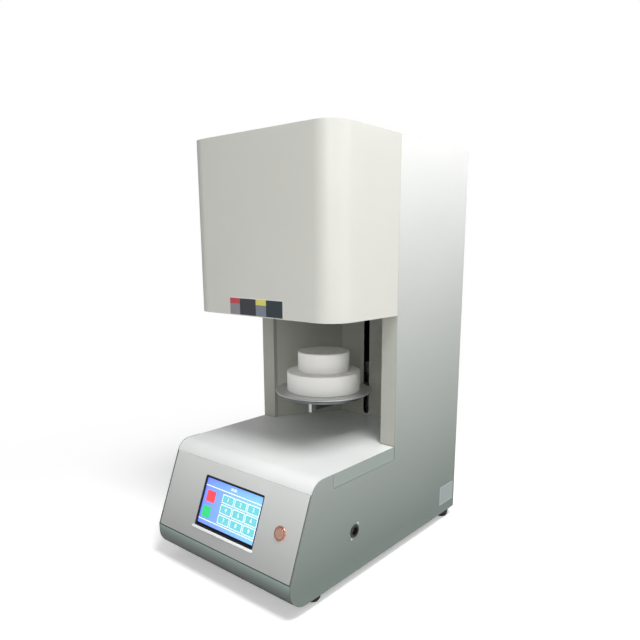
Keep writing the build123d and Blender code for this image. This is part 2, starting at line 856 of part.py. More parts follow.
def element_clamps():
    """Aluminium clamps on the tops of the shanks."""
    low = roof_top + clamp_lift
    clamps = []
    for index in range(element_count):
        for sign in (-1, 1):
            clamp = Pos(0, 0, clamp_height / 2) * Box(clamp_size, clamp_size, clamp_height)
            clamp -= post(0, 0, -1, clamp_height + 1, element_cold / 2 + 0.1)
            clamp -= block(0, clamp_size, -0.8, 0.8, -1, clamp_height + 1)
            place = Rot(0, 0, 45 + 360 / element_count * index)
            clamps.append(place * Pos(element_circle, sign * element_spacing / 2, low) * clamp)
    return group(clamps)


def element_straps():
    """Flat straps that join the elements one after another."""
    low = roof_top + clamp_lift + clamp_height
    ends = shank_places()
    straps = []
    for index in range(element_count - 1):
        x0, y0 = ends[index][1]
        x1, y1 = ends[index + 1][0]
        length = sqrt((x1 - x0) ** 2 + (y1 - y0) ** 2)
        turn = degrees(atan2(y1 - y0, x1 - x0))
        strap = SlotOverall(length + clamp_size, clamp_size - 2)
        for sign in (-1, 1):
            strap -= Pos(sign * length / 2, 0) * Circle(element_cold / 2 + 0.2)
        place = Pos((x0 + x1) / 2, (y0 + y1) / 2, low) * Rot(0, 0, turn)
        straps.append(place * extrude(strap, amount=strap_thickness))
    return group(straps)


def thermocouple():
    """Closed ceramic sheath through the roof with its terminal head."""
    radius = probe_diameter / 2
    probe = post(0, probe_circle, chamber_top - probe_drop, roof_top + 6, radius)
    probe += Pos(0, probe_circle, chamber_top - probe_drop) * Sphere(radius)
    probe += post(0, probe_circle, roof_top, roof_top + 6, 11)
    return probe + Pos(0, probe_circle, roof_top + 15) * Box(30, 22, 18)


def fan_frame():
    """Square fan frame with four struts and a motor hub that carries the rotor."""
    frame = RectangleRounded(fan_size, fan_size, 8) - Circle(fan_bore)
    for x in (-52.5, 52.5):
        for z in (-52.5, 52.5):
            frame -= Pos(x, z) * Circle(2.2)
    body = extrude(frame, amount=fan_depth)
    hub = extrude(Circle(fan_hub + 1), amount=4)
    for turn in range(4):
        strut = Pos((fan_hub + fan_bore) / 2, 0, 2) * Box(fan_bore - fan_hub + 2, 6, 4)
        hub += Rot(0, 0, 90 * turn + 45) * strut
    hub += extrude(Circle(3), amount=18)
    return fan_place() * (body + hub)


def fan_place():
    """Puts the fan's own z axis along the way the air leaves, from the frame's inner face."""
    return Pos(0, fan_front, fan_height) * Rot(-90, 0, 0)


def fan_rotor():
    """Impeller: a cup on the pin and seven twisted blades."""
    low, high = 5.0, fan_depth - 1.5
    rotor = extrude(Circle(fan_hub), amount=high - low)
    rotor -= Pos(0, 0, -1) * extrude(Circle(fan_hub - 2), amount=high - low - 1)
    rotor += extrude(Circle(6), amount=high - low)
    rotor -= extrude(Circle(3 + running_fit), amount=high - low - 4)
    tip = fan_bore - fan_tip_gap
    for index in range(fan_blades):
        sections = []
        for reach, lean, chord in ((fan_hub - 1, 38, 20), (tip, 62, 26)):
            plane = Plane(origin=(reach, 0, (high - low) / 2), x_dir=(0, 1, 0), z_dir=(1, 0, 0))
            chord_fit = min(chord, (high - low - 1.5) / cos(radians(lean)))
            sections.append(plane * Rot(0, 0, 90 - lean) * Rectangle(chord_fit, 1.4))
        rotor += Rot(0, 0, 360 / fan_blades * index) * loft(sections)
    rotor &= Pos(0, 0, high / 2) * Cylinder(tip, 2 * high)
    return fan_place() * Pos(0, 0, low) * rotor


def fan_guard():
    """Wire guard: rings on four spokes that end at the frame's screws."""
    rings = []
    for radius in (18, 31, 44, 57):
        rings.append(Pos(0, 0, guard_wire / 2) * Torus(radius, guard_wire / 2))
    guard = rings[0]
    for ring in rings[1:]:
        guard += ring
    eye = sqrt(2) * 52.5
    for turn in range(4):
        spoke = Pos(eye / 2 + 6, 0, guard_wire / 2) * Box(eye - 12, guard_wire, guard_wire)
        foot_pad = Pos(eye, 0, (guard_wire - guard_stand) / 2) * Cylinder(4, guard_wire + guard_stand)
        guard += Rot(0, 0, 90 * turn + 45) * (spoke + foot_pad)
    return Pos(0, tower_depth + guard_stand, fan_height) * Rot(-90, 0, 0) * guard


def mains_inlet():
    """Three-pin appliance inlet in the rear panel, with its flange and screws' ears."""
    place = Pos(inlet_across, tower_depth, inlet_up) * Rot(-90, 0, 0)
    body = Pos(0, 0, 1) * extrude(RectangleRounded(50, 30, 4), amount=2, both=False)
    body = Pos(0, 0, -1) * body
    body += Pos(0, 0, -13) * Box(31.6, 24.6, 26)
    body -= Pos(0, 0, -7) * Box(26, 19, 20)
    for x, y in ((-7, 3), (0, -3), (7, 3)):
        body += Pos(x, y, -11) * Box(2, 5, 12)
    return place * body


def switch_housing():
    """Frame of the mains rocker switch, snapped into the rear panel."""
    place = Pos(switch_across, tower_depth, inlet_up) * Rot(-90, 0, 0)
    body = extrude(RectangleRounded(26, 32, 2), amount=2)
    body += Pos(0, 0, -12) * Box(21.6, 27.6, 24)
    body -= Pos(0, 0, -4) * Box(15, 22, 14)
    body -= Pos(0, 0, -3) * Rot(0, 90, 0) * Cylinder(1.5 + running_fit, 17)
    return place * body


def switch_rocker():
    """Rocker of the mains switch, tilting on two stub pins."""
    place = Pos(switch_across, tower_depth, inlet_up) * Rot(-90, 0, 0)
    outline = make_face(Polyline(
        (-9, 3.2), (0, 1.2), (9, 5.2), (9, 3.4), (4.5, -6), (-4.5, -6), (-9, -0.8), close=True))
    rocker = side_on(outline, -7, 7)
    rocker += Pos(0, 0, -3) * Rot(0, 90, 0) * Cylinder(1.5, 16.6)
    return place * rocker


def transformer():
    """Low-voltage transformer for the elements: laminated core with two wound limbs."""
    x, y = -95.0, -95.0
    core = block(x - 50, x + 50, y - 25, y + 25, base_top, base_top + 96)
    core -= block(x - 32, x - 9, y - 26, y + 26, base_top + 18, base_top + 78)
    core -= block(x + 9, x + 32, y - 26, y + 26, base_top + 18, base_top + 78)
    coil = block(x - 30, x + 30, y - 42, y + 42, base_top + 20, base_top + 76)
    coil = fillet(coil.edges().filter_by(Axis.Z), 12)
    return core + coil


def control_board():
    """Control circuit board on four spacers above the base pan."""
    x0, x1, y0, y1 = 20.0, 150.0, -80.0, 40.0
    board = block(x0, x1, y0, y1, base_top + 10, base_top + 11.6)
    for x in (x0 + 8, x1 - 8):
        for y in (y0 + 8, y1 - 8):
            board += post(x, y, base_top, base_top + 10, 3)
    board += block(x0 + 15, x0 + 55, y0 + 15, y0 + 45, base_top + 11.6, base_top + 27)
    board += block(x1 - 50, x1 - 15, y0 + 60, y0 + 85, base_top + 11.6, base_top + 15)
    return board


def power_relay():
    """Solid-state relay on a finned heat sink."""
    x, y = -100.0, 60.0
    sink = block(x - 40, x + 40, y - 50, y + 50, base_top, base_top + 6)
    for fin in range(9):
        fin_x = x - 40 + 9.6 * fin
        sink += block(fin_x, fin_x + 2.4, y - 50, y + 50, base_top + 6, base_top + 32)
    return sink


def relay_block():
    """Moulded relay lying on the heat sink's fins."""
    x, y = -100.0, 60.0
    low = base_top + 32
    body = block(x - 22, x + 22, y - 29, y + 29, low, low + 22)
    for sign in (-1, 1):
        body -= block(x - 8, x + 8, y + sign * 29 - 8, y + sign * 29 + 8, low + 14, low + 23)
    return fillet(body.edges().filter_by(Axis.Z).sort_by(lambda e: -abs(e.center().X - x))[0:4], 2)


def save(name, shape):
    """Move a piece to the footprint's own origin and write it."""
    export_step(Pos(0, axis_shift, 0) * shape, f"parts/{name}.step")


def main():
    """Write every piece as a file of its own."""
    os.makedirs("parts", exist_ok=True)
    front_foot = front_foot_back - console_reach
    rear_foot = tower_depth - rear_foot_back
    save("front_feet", pair_of_feet(foot_inset_front, front_foot))
    save("rear_feet", pair_of_feet(foot_inset_rear, rear_foot))
    save("left_side_panel", side_panel(-1))
    save("right_side_panel", side_panel(1))
    save("lower_bearing_block", bearing_block(lower_block_low))
    save("upper_bearing_block", bearing_block(upper_block_low))
    save("motor_shaft", motor_shaft_piece())
    pieces = (
        base_pan, deck_cover, front_panel, front_lip, screen_bezel, screen_glass, screen_module,
        button_housing, button_cap, side_socket, side_socket_screws, alcove_liner, mast_plate,
        chamber_plate, mouth_ring, hood_shell, top_cover, rear_panel, rear_panel_screws,
        lower_hearth_disc, upper_hearth_disc, hearth_tray, levelling_studs, levelling_springs,
        lift_arm, lift_carriage, carriage_bushings, lead_nut, guide_rods, lead_screw,
        shaft_coupler, lift_motor, motor_bracket, insulation_floor_ring, insulation_wall,
        insulation_roof, chamber_casing, heating_elements, element_holders, element_clamps,
        element_straps, thermocouple, fan_frame, fan_rotor, fan_guard, mains_inlet,
        switch_housing, switch_rocker, transformer, control_board, power_relay, relay_block,
    )
    for piece in pieces:
        save(piece.__name__, piece())


main()
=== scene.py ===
"""Looks of a dental sintering furnace: finishes, screen picture, small fittings and the stage."""
from math import cos, pi, radians, sin

import bmesh
import bpy
from bpy.props import FloatProperty, FloatVectorProperty, IntProperty, PointerProperty
from mathutils import Matrix, Vector


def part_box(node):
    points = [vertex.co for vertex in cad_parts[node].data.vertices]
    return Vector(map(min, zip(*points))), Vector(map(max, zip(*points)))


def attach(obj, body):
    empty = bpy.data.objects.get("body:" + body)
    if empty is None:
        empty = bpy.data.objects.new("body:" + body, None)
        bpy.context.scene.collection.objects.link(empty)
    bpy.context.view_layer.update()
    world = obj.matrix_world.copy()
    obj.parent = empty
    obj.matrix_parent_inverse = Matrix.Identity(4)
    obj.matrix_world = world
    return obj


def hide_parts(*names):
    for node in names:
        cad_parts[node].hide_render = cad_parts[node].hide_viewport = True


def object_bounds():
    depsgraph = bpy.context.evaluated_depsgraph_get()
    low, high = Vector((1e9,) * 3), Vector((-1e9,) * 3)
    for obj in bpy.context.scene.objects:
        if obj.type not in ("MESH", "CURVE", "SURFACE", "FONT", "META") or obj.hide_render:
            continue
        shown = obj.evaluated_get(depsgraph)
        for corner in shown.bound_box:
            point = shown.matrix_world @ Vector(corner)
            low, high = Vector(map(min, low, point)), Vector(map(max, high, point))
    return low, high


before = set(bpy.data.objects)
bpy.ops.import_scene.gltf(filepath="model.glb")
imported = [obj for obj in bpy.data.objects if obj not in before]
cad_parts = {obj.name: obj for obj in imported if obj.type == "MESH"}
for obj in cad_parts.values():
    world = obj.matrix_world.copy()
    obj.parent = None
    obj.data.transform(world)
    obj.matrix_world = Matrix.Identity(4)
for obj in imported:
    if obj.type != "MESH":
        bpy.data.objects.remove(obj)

bl_info = {
    "name": "Dental sintering furnace looks",
    "version": (1, 0, 0),
    "blender": (4, 5, 0),
    "location": "3D View > Sidebar > Furnace",
    "description": "Finishes, screen picture and small fittings around the furnace's CAD frame",
    "category": "Object",
}


MM = 0.001
WHITE = (1.0, 1.0, 1.0, 1.0)
cad_low, cad_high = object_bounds()


def linear(code):
    """A colour written as six hexadecimal digits, in the linear values that shaders use."""
    values = [int(code[i:i + 2], 16) / 255 for i in (0, 2, 4)]
    return tuple(v / 12.92 if v <= 0.04045 else ((v + 0.055) / 1.055) ** 2.4 for v in values)


def shade(colour, factor=1.0):
    """A colour made lighter or darker, with the alpha that sockets want."""
    return tuple(min(1.0, max(0.0, part * factor)) for part in colour[:3]) + (1.0,)


# Settings

def paint(name, description, code):
    """A colour setting, its default written as six hexadecimal digits."""
    return FloatVectorProperty(
        name=name, description=description, subtype="COLOR", default=linear(code), min=0, max=1)


def length(name, description, default, low, high):
    """A length setting and its limits, given in millimetres."""
    return FloatProperty(name=name, description=description, default=default * MM, min=low * MM,
                         max=high * MM, unit="LENGTH")


def power(name, description, default):
    """The setting of a lamp's power."""
    return FloatProperty(
        name=name, description=description, default=default, min=0, max=500, unit="POWER")


class CasingSettings(bpy.types.PropertyGroup):
    """Colours of the painted covers and the console."""
    shell: paint("Hood paint", "Satin paint of the hood and its lid", "D2D2CB")
    # The side panels' two tones are the ends of a painted shade, dark at the foot and pale at the
    # top
    side: paint("Side paint", "Paint of the side panels at the foot", "67736D")
    side_high: paint("Side paint, top", "Paint of the side panels at the top", "E7E8E6")
    deck: paint("Deck paint", "Metallic paint of the deck", "EDEFEE")
    # The fascia's tone is scaled into a painted shade, darker at its lower edge
    fascia: paint("Fascia paint", "Metallic paint of the sloped front panel", "D3D5D3")
    # The lip's tone is scaled into a painted shade, nearly black at its foot
    lip: paint("Lip paint", "Paint of the rounded lower lip", "7C8B86")
    liner: paint("Liner paint", "Paint inside the loading space", "B4B5AC")
    peel: FloatProperty(
        name="Paint texture", description="Depth of the paint's fine orange peel",
        default=0.05 * MM, min=0, max=MM, unit="LENGTH", precision=6)


class ScreenSettings(bpy.types.PropertyGroup):
    """Sizes and colours of the touch screen's picture."""
    frame_line: length("Tile frame", "Width of the pale frame round each tile", 1.1, 0.2, 3.0)
    digit_height: length("Digit height", "Height of the plain numbers on the tiles", 7.0, 1.0, 12.0)
    glow: FloatProperty(
        name="Screen glow", description="Strength of the light from the screen's picture",
        default=0.8, min=0, max=4)
    left: paint("Background, left", "Background colour at the left edge", "6A80E6")
    right: paint("Background, right", "Background colour at the right edge", "7AB4F2")


class FittingSettings(bpy.types.PropertyGroup):
    """Sizes of the small fittings."""
    spring_wire: length("Spring wire", "Wire diameter of the levelling springs", 1.1, 0.4, 1.6)
    spring_turns: IntProperty(
        name="Spring turns", description="Turns of each levelling spring", default=3, min=2, max=6)
    thread_lead: length(
        "Thread lead", "Rise of the lead screw's thread in one turn", 10.0, 2.0, 20.0)
    thread_depth: length("Thread depth", "Depth of the lead screw's thread", 1.0, 0.2, 1.5)


class StageSettings(bpy.types.PropertyGroup):
    """Floor and lamps."""
    floor: paint("Floor", "Colour of the floor", "F4F4F4")
    side_lamp: power("Side lamp", "Power of the large lamp on the right", 9)
    top_lamp: power("Top lamp", "Power of the large lamp overhead", 34)
    front_lamp: power("Front lamp", "Power of the low lamp at the front right", 6.5)
    world: FloatProperty(
        name="World light", description="Strength of the even light all round", default=0.34,
        min=0, max=2)


# Effects that several materials share

def feed(tree, value, socket):
    """Link a socket to another one, or set it to a number or a colour."""
    if isinstance(value, bpy.types.NodeSocket):
        tree.links.new(value, socket)
    else:
        socket.default_value = value


def open_group(name, scale, stretch=None):
    """A node group and its inputs: Vector, Scale and, where one is given, Stretch."""
    group = bpy.data.node_groups.new(name, "ShaderNodeTree")
    inputs = [("Vector", "NodeSocketVector", (0, 0, 0)), ("Scale", "NodeSocketFloat", scale)]
    if stretch:
        inputs.append(("Stretch", "NodeSocketVector", stretch))
    for label, kind, value in inputs:
        socket = group.interface.new_socket(label, in_out="INPUT", socket_type=kind)
        socket.default_value = value
    return group, group.nodes.new("NodeGroupInput").outputs


def close_group(group, tone, height):
    """Give the group its outputs: Shade, a share from 0 to 1, and Height."""
    for label in ("Shade", "Height"):
        group.interface.new_socket(label, in_out="OUTPUT", socket_type="NodeSocketFloat")
    leave = group.nodes.new("NodeGroupOutput").inputs
    group.links.new(tone, leave["Shade"])
    group.links.new(height, leave["Height"])
    return group


def noise(tree, vector, scale, detail=3.0, roughness=0.5):
    """A noise texture driven by a vector socket."""
    node = tree.nodes.new("ShaderNodeTexNoise")
    for label, value in (("Vector", vector), ("Scale", scale), ("Detail", detail),
                         ("Roughness", roughness)):
        feed(tree, value, node.inputs[label])
    return node.outputs[0]


def mapped(tree, value, low, high, to_low=0.0, to_high=1.0):
    """A value carried from one range to another and held inside it."""
    node = tree.nodes.new("ShaderNodeMapRange")
    for label, number in (("Value", value), ("From Min", low), ("From Max", high),
                          ("To Min", to_low), ("To Max", to_high)):
        feed(tree, number, node.inputs[label])
    return node.outputs["Result"]


def combined(tree, operation, first, second=0.0):
    """Two values joined by one operation."""
    node = tree.nodes.new("ShaderNodeMath")
    node.operation = operation
    feed(tree, first, node.inputs[0])
    feed(tree, second, node.inputs[1])
    return node.outputs[0]


def stretched(group, entry):
    """The group's Vector times its Stretch."""
    node = group.nodes.new("ShaderNodeMapping")
    group.links.new(entry["Vector"], node.inputs["Vector"])
    group.links.new(entry["Stretch"], node.inputs["Scale"])
    return node.outputs["Vector"]


def cells(group, entry, feature="F1"):
    """Distances inside a cell pattern of the group's Scale."""
    node = group.nodes.new("ShaderNodeTexVoronoi")
    node.feature = feature
    group.links.new(entry["Vector"], node.inputs["Vector"])
    group.links.new(entry["Scale"], node.inputs["Scale"])
    return node.outputs["Distance"]


def peel_effect():
    """Orange peel of sprayed paint with faint cloudy patches."""
    group, entry = open_group("paint_peel", 900.0)
    fine = noise(group, entry["Vector"], entry["Scale"], 2.0)
    patch = mapped(group, noise(group, entry["Vector"], 6.0), 0.35, 0.65)
    mixed = combined(group, "MULTIPLY", combined(group, "ADD", fine, patch), 0.5)
    return close_group(group, mixed, fine)


def brushed_effect():
    """Fine lines of brushed or drawn metal; Stretch sets their direction."""
    group, entry = open_group("brushed_lines", 400.0, (1, 1, 1))
    lines = noise(group, stretched(group, entry), entry["Scale"], 4.0, 0.65)
    smudge = mapped(group, noise(group, entry["Vector"], 14.0, 2.0), 0.3, 0.7)
    mixed = combined(group, "ADD", combined(group, "MULTIPLY", lines, 0.7),
                     combined(group, "MULTIPLY", smudge, 0.3))
    return close_group(group, mixed, lines)


def felt_effect():
    """Pressed ceramic fibre: soft lumps, short fibres and pinholes."""
    group, entry = open_group("pressed_fibre", 260.0)
    lumps = noise(group, entry["Vector"], 45.0, 4.0, 0.6)
    fibres = noise(group, entry["Vector"], entry["Scale"], 6.0, 0.75)
    pits = mapped(group, cells(group, entry), 0.0, 0.28)
    surface = combined(group, "ADD", combined(group, "MULTIPLY", lumps, 0.6), fibres)
    height = combined(group, "MULTIPLY", surface, pits)
    return close_group(group, mapped(group, surface, 0.45, 1.15), height)


def moulded_effect():
    """Spark-eroded texture of moulded plastic, with a little dust in cloudy patches."""
    group, entry = open_group("moulded_grain", 1400.0)
    dust = mapped(group, noise(group, entry["Vector"], 30.0, 4.0), 0.4, 0.75)
    return close_group(group, dust, cells(group, entry, "SMOOTH_F1"))


def wound_effect():
    """Rows of wire or laminations: even bands along the direction that Stretch gives."""
    group, entry = open_group("stacked_bands", 160.0, (0, 0, 1))
    bands = group.nodes.new("ShaderNodeTexWave")
    bands.bands_direction = "DIAGONAL"
    bands.inputs["Distortion"].default_value = 0.3
    group.links.new(stretched(group, entry), bands.inputs["Vector"])
    group.links.new(entry["Scale"], bands.inputs["Scale"])
    return close_group(group, bands.outputs["Fac"], bands.outputs["Fac"])


EFFECTS = {"peel": peel_effect, "brushed": brushed_effect, "felt": felt_effect,
           "moulded": moulded_effect, "bands": wound_effect}
BUILT = {}


def effect(name):
    """The shared node group of that name, built the first time it is asked for."""
    if name not in BUILT:
        BUILT[name] = EFFECTS[name]()
    return BUILT[name]


# Materials

def blank(name):
    """A new material, its node tree, its shader's inputs and the object's own coordinates."""
    material = bpy.data.materials.new(name)
    material.use_nodes = True
    tree = material.node_tree
    place = tree.nodes.new("ShaderNodeTexCoord").outputs["Object"]
    return material, tree, tree.nodes["Principled BSDF"].inputs, place


def blended(tree, factor, first, second, blend="MIX"):
    """Two colours, given as values or sockets, mixed by a factor."""
    mix = tree.nodes.new("ShaderNodeMix")
    mix.data_type = "RGBA"
    mix.blend_type = blend
    for label, value in (("Factor", factor), ("A", first), ("B", second)):
        feed(tree, value, mix.inputs[label])
    return mix.outputs["Result"]


def finish(name, colour, kind, roughness, metallic=0.0, tint=0.06, spread=0.08, depth=0.05 * MM,
           scale=None, stretch=None, specular=0.5):
    """A finished surface: colour and roughness that vary, and relief at the real scale."""
    material, tree, shader, place = blank(name)
    if isinstance(colour, str):
        colour = linear(colour)
    group = tree.nodes.new("ShaderNodeGroup")
    group.node_tree = effect(kind)
    tree.links.new(place, group.inputs["Vector"])
    if scale:
        group.inputs["Scale"].default_value = scale
    if stretch:
        group.inputs["Stretch"].default_value = stretch
    share = group.outputs["Shade"]
    tone = blended(tree, share, shade(colour, 1 - tint), shade(colour, 1 + tint))
    tree.links.new(tone, shader["Base Color"])
    rough = mapped(tree, share, 0.0, 1.0, roughness - spread, roughness + spread)
    tree.links.new(rough, shader["Roughness"])
    bump = tree.nodes.new("ShaderNodeBump")
    bump.inputs["Distance"].default_value = depth
    bump.inputs["Strength"].default_value = 1.0
    tree.links.new(group.outputs["Height"], bump.inputs["Height"])
    tree.links.new(bump.outputs["Normal"], shader["Normal"])
    shader["Metallic"].default_value = metallic
    shader["Specular IOR Level"].default_value = specular
    return material


def parts_of_place(tree, place):
    """Sockets with the x, y and z of a point on the surface."""
    split = tree.nodes.new("ShaderNodeSeparateXYZ")
    tree.links.new(place, split.inputs["Vector"])
    return split.outputs


def base_of(material):
    """A finish's tree, the socket of its base colour and the parts of its place."""
    tree = material.node_tree
    place = [node for node in tree.nodes if node.type == "TEX_COORD"][0].outputs["Object"]
    return tree, tree.nodes["Principled BSDF"].inputs["Base Color"], parts_of_place(tree, place)


def painted_shade_ramp(material, bottom, top, low, high, power=1.0):
    """Let the finish's colour run upwards from one tone to another, clouds included: a painted
    shade, darker towards the bottom.
    """
    tree, base, parts = base_of(material)
    share = combined(tree, "POWER", mapped(tree, parts["Z"], bottom, top), power)
    ramp = blended(tree, share, shade(low), shade(high))
    clouds = base.links[0].from_socket
    tree.links.new(blended(tree, 1.0, ramp, clouds, "MULTIPLY"), base)
    return material


def painted_skirt_shade(material, edge, tone):
    """Give the surface beyond the edge, on both sides, a tone of its own: painted shade on the
    side-facing skirts.
    """
    tree, base, parts = base_of(material)
    beyond = combined(tree, "GREATER_THAN", combined(tree, "ABSOLUTE", parts["X"]), edge)
    top = base.links[0].from_socket
    tree.links.new(blended(tree, beyond, top, shade(tone)), base)
    return material


def dots(tree, place):
    """The fine dot pattern of the display."""
    return noise(tree, place, 2600.0, 1.0)


def lit(name, glow, low, high, share=dots):
    """Lit element of the screen's picture: two tones mixed by a value over the surface."""
    material, tree, shader, place = blank(name)
    tone = blended(tree, share(tree, place), shade(low), shade(high))
    tree.links.new(tone, shader["Base Color"])
    tree.links.new(tone, shader["Emission Color"])
    shader["Emission Strength"].default_value = glow
    shader["Roughness"].default_value = 0.12
    return material


def dress(material, *names):
    """Put a material on CAD nodes in place of their plain one."""
    for name in names:
        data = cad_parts[name].data
        data.materials.clear()
        data.materials.append(material)


def dress_rows(*rows):
    """Dress CAD nodes by rows of finish, colour, effect, roughness, other options and nodes."""
    for name, colour, kind, roughness, options, nodes in rows:
        dress(finish(name, colour, kind, roughness, **options), *nodes.split())


# Modelling helpers

def clear_selection():
    """Leave edit mode and select nothing."""
    if bpy.context.object and bpy.context.object.mode != "OBJECT":
        bpy.ops.object.mode_set(mode="OBJECT")
    bpy.ops.object.select_all(action="DESELECT")


def named(name):
    """Give the piece that was just added its name."""
    piece = bpy.context.object
    piece.name = name
    piece.data.name = name
    return piece


def settle(piece):
    """Write the piece's place, turn and size into its mesh."""
    clear_selection()
    piece.select_set(True)
    bpy.context.view_layer.objects.active = piece
    bpy.ops.object.transform_apply(location=True, rotation=True, scale=True)


def pick(piece, kind, test):
    """In edit mode, select the faces or edges that pass the test."""
    bpy.ops.mesh.select_mode(type="FACE" if kind == "faces" else "EDGE")
    bpy.ops.mesh.select_all(action="DESELECT")
    mesh = bmesh.from_edit_mesh(piece.data)
    mesh.normal_update()
    for item in getattr(mesh, kind):
        if test(item):
            item.select_set(True)
    bmesh.update_edit_mesh(piece.data)


def middle(edge):
    """Middle point of an edge."""
    return (edge.verts[0].co + edge.verts[1].co) / 2


def upright_edge(edge):
    """True for an edge along the piece's own z."""
    span = edge.verts[0].co - edge.verts[1].co
    return abs(span.z) > 0.9 * span.length


def cuboid(name, centre, size):
    """A plain box."""
    clear_selection()
    bpy.ops.mesh.primitive_cube_add(size=1, location=centre)
    piece = named(name)
    piece.scale = size
    settle(piece)
    return piece


def plate(name, width, height, thickness, corner, edge):
    """A flat plate about the origin, standing on z = 0, with round corners and a soft rim."""
    piece = cuboid(name, (0, 0, thickness / 2), (width, height, thickness))
    bpy.ops.object.mode_set(mode="EDIT")
    if corner:
        pick(piece, "edges", upright_edge)
        bpy.ops.mesh.bevel(offset=corner, segments=5, affect="EDGES")
    pick(piece, "edges", lambda e: not upright_edge(e) and middle(e).z > 0.9 * thickness)
    bpy.ops.mesh.bevel(offset=edge, segments=2, affect="EDGES")
    bpy.ops.object.mode_set(mode="OBJECT")
    return piece


def round_bar(radius, low, high, across=0.0, along=0.0):
    """An upright round bar with softened ends."""
    clear_selection()
    bpy.ops.mesh.primitive_cylinder_add(
        vertices=40, radius=radius, depth=high - low, location=(across, along, (low + high) / 2))
    piece = named("bar")
    settle(piece)
    bpy.ops.object.mode_set(mode="EDIT")
    pick(piece, "edges", lambda e: not upright_edge(e))
    bpy.ops.mesh.bevel(offset=0.4 * MM, segments=1, affect="EDGES")
    bpy.ops.object.mode_set(mode="OBJECT")
    return piece


def joined(name, pieces):
    """Join pieces into one, which takes the name."""
    clear_selection()
    for piece in pieces:
        piece.select_set(True)
    bpy.context.view_layer.objects.active = pieces[0]
    bpy.ops.object.join()
    return named(name)


def copied(piece, name):
    """A copy with a mesh of its own."""
    twin = piece.copy()
    twin.data = piece.data.copy()
    twin.name = name
    bpy.context.scene.collection.objects.link(twin)
    return twin


def coat(piece, material):
    """Give a new piece its one material."""
    piece.data.materials.clear()
    piece.data.materials.append(material)
    return piece


def close_ends():
    """Cap the two ends of the wire in hand and turn all its faces outwards."""
    bpy.ops.object.mode_set(mode="EDIT")
    bpy.ops.mesh.select_mode(type="EDGE")
    bpy.ops.mesh.select_all(action="SELECT")
    bpy.ops.mesh.remove_doubles(threshold=0.001 * MM)
    bpy.ops.mesh.select_all(action="DESELECT")
    bpy.ops.mesh.select_non_manifold()
    bpy.ops.mesh.fill_holes(sides=0)
    bpy.ops.mesh.select_all(action="SELECT")
    bpy.ops.mesh.normals_make_consistent(inside=False)
    bpy.ops.object.mode_set(mode="OBJECT")


def wound(name, sides, wire, turn, radius, start, rise, turns, steps):
    """A wire wound upwards about the z axis, its round section turned by an angle."""
    clear_selection()
    bpy.ops.mesh.primitive_circle_add(
        vertices=sides, radius=wire, location=(radius, 0, start), rotation=(pi / 2, turn, 0))
    coil = named(name)
    settle(coil)
    screw = coil.modifiers.new("turns", "SCREW")
    screw.axis = "Z"
    screw.angle = 2 * pi
    screw.screw_offset = rise
    screw.iterations = turns
    screw.steps = steps
    screw.render_steps = steps
    screw.use_merge_vertices = False
    bpy.ops.object.modifier_apply(modifier="turns")
    close_ends()
    return coil


def smooth(piece, angle=35):
    """Smooth shading that keeps edges sharper than the angle."""
    clear_selection()
    piece.select_set(True)
    bpy.context.view_layer.objects.active = piece
    bpy.ops.object.shade_smooth_by_angle(angle=radians(angle))
    return piece


def belongs(piece, body):
    """Fix the piece to its body."""
    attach(piece, body)
    return piece


# The sloped fascia, from which the console's fittings are placed

PANEL_TILT = radians(21.07)
PANEL_SHEET = 2.5 * MM


def fascia_point(across, up, out):
    """A point measured on the fascia: across, up its slope from the lower edge, and outwards."""
    low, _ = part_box("front_panel")
    edge = Vector((0, low.y, low.z + PANEL_SHEET * sin(PANEL_TILT)))
    slope = Vector((0, sin(PANEL_TILT), cos(PANEL_TILT)))
    outward = Vector((0, -cos(PANEL_TILT), sin(PANEL_TILT)))
    return edge + Vector((across, 0, 0)) + slope * up + outward * out


def on_fascia(piece, across, up, out):
    """Lay a flat piece on the fascia's plane and write that place into its mesh."""
    piece.location = fascia_point(across, up, out)
    piece.rotation_euler = (pi / 2 - PANEL_TILT, 0, 0)
    settle(piece)
    return piece


# The screen's window on the fascia, and the picture in fractions of that window

SCREEN_LOW = 27.0 * MM
SCREEN_WIDTH = 154.0 * MM
SCREEN_HEIGHT = 92.5 * MM
GLASS_DEPTH = 4.0 * MM
SIGHT_SHIFT = (-3.1 * MM, 0.4 * MM)
PICTURE = (0.03, 1.0, 0.055, 0.94)
RULES = (0.2, 0.855)
RULE_HALF = 0.006
STOP_KEY = (0.085, 0.235, 0.28, 0.5)
RUN_KEY = (0.07, 0.21, 0.59, 0.81)
TILE_COLUMNS = (0.35, 0.56, 0.775, 0.985)
TILE_ROWS = (0.245, 0.44, 0.64, 0.835)
TILE_GAP = (0.008, 0.014)
TITLE_PLACE = (0.51, 0.125)

# Heights of the picture and the keys above the glass, then of the faces and digits above those

PICTURE_LAYER = 0.02 * MM
KEY_LAYER = 0.16 * MM
FACE_LAYER = 0.1 * MM
DIGIT_LAYER = 0.26 * MM

# The title's height, and the text size that gives digits one unit high

TITLE_HEIGHT = 5.0 * MM
LINE_TO_DIGIT = 1.4


def screen_place(u, v):
    """Across and up of a point given as fractions of the window from its top left corner."""
    across = -SCREEN_WIDTH / 2 + SCREEN_WIDTH * u + SIGHT_SHIFT[0]
    up = SCREEN_LOW + SCREEN_HEIGHT * (1 - v) + SIGHT_SHIFT[1]
    return across, up


def screen_plate(name, u0, u1, v0, v1, out, material, corner=0.0):
    """A thin lit plate on the glass between two corners given as fractions of the window."""
    thickness = 0.12 * MM
    x0, y1 = screen_place(u0, v0)
    x1, y0 = screen_place(u1, v1)
    piece = plate(name, x1 - x0, y1 - y0, thickness, corner, thickness * 0.4)
    on_fascia(piece, (x0 + x1) / 2, (y0 + y1) / 2, out - GLASS_DEPTH)
    return coat(piece, material)


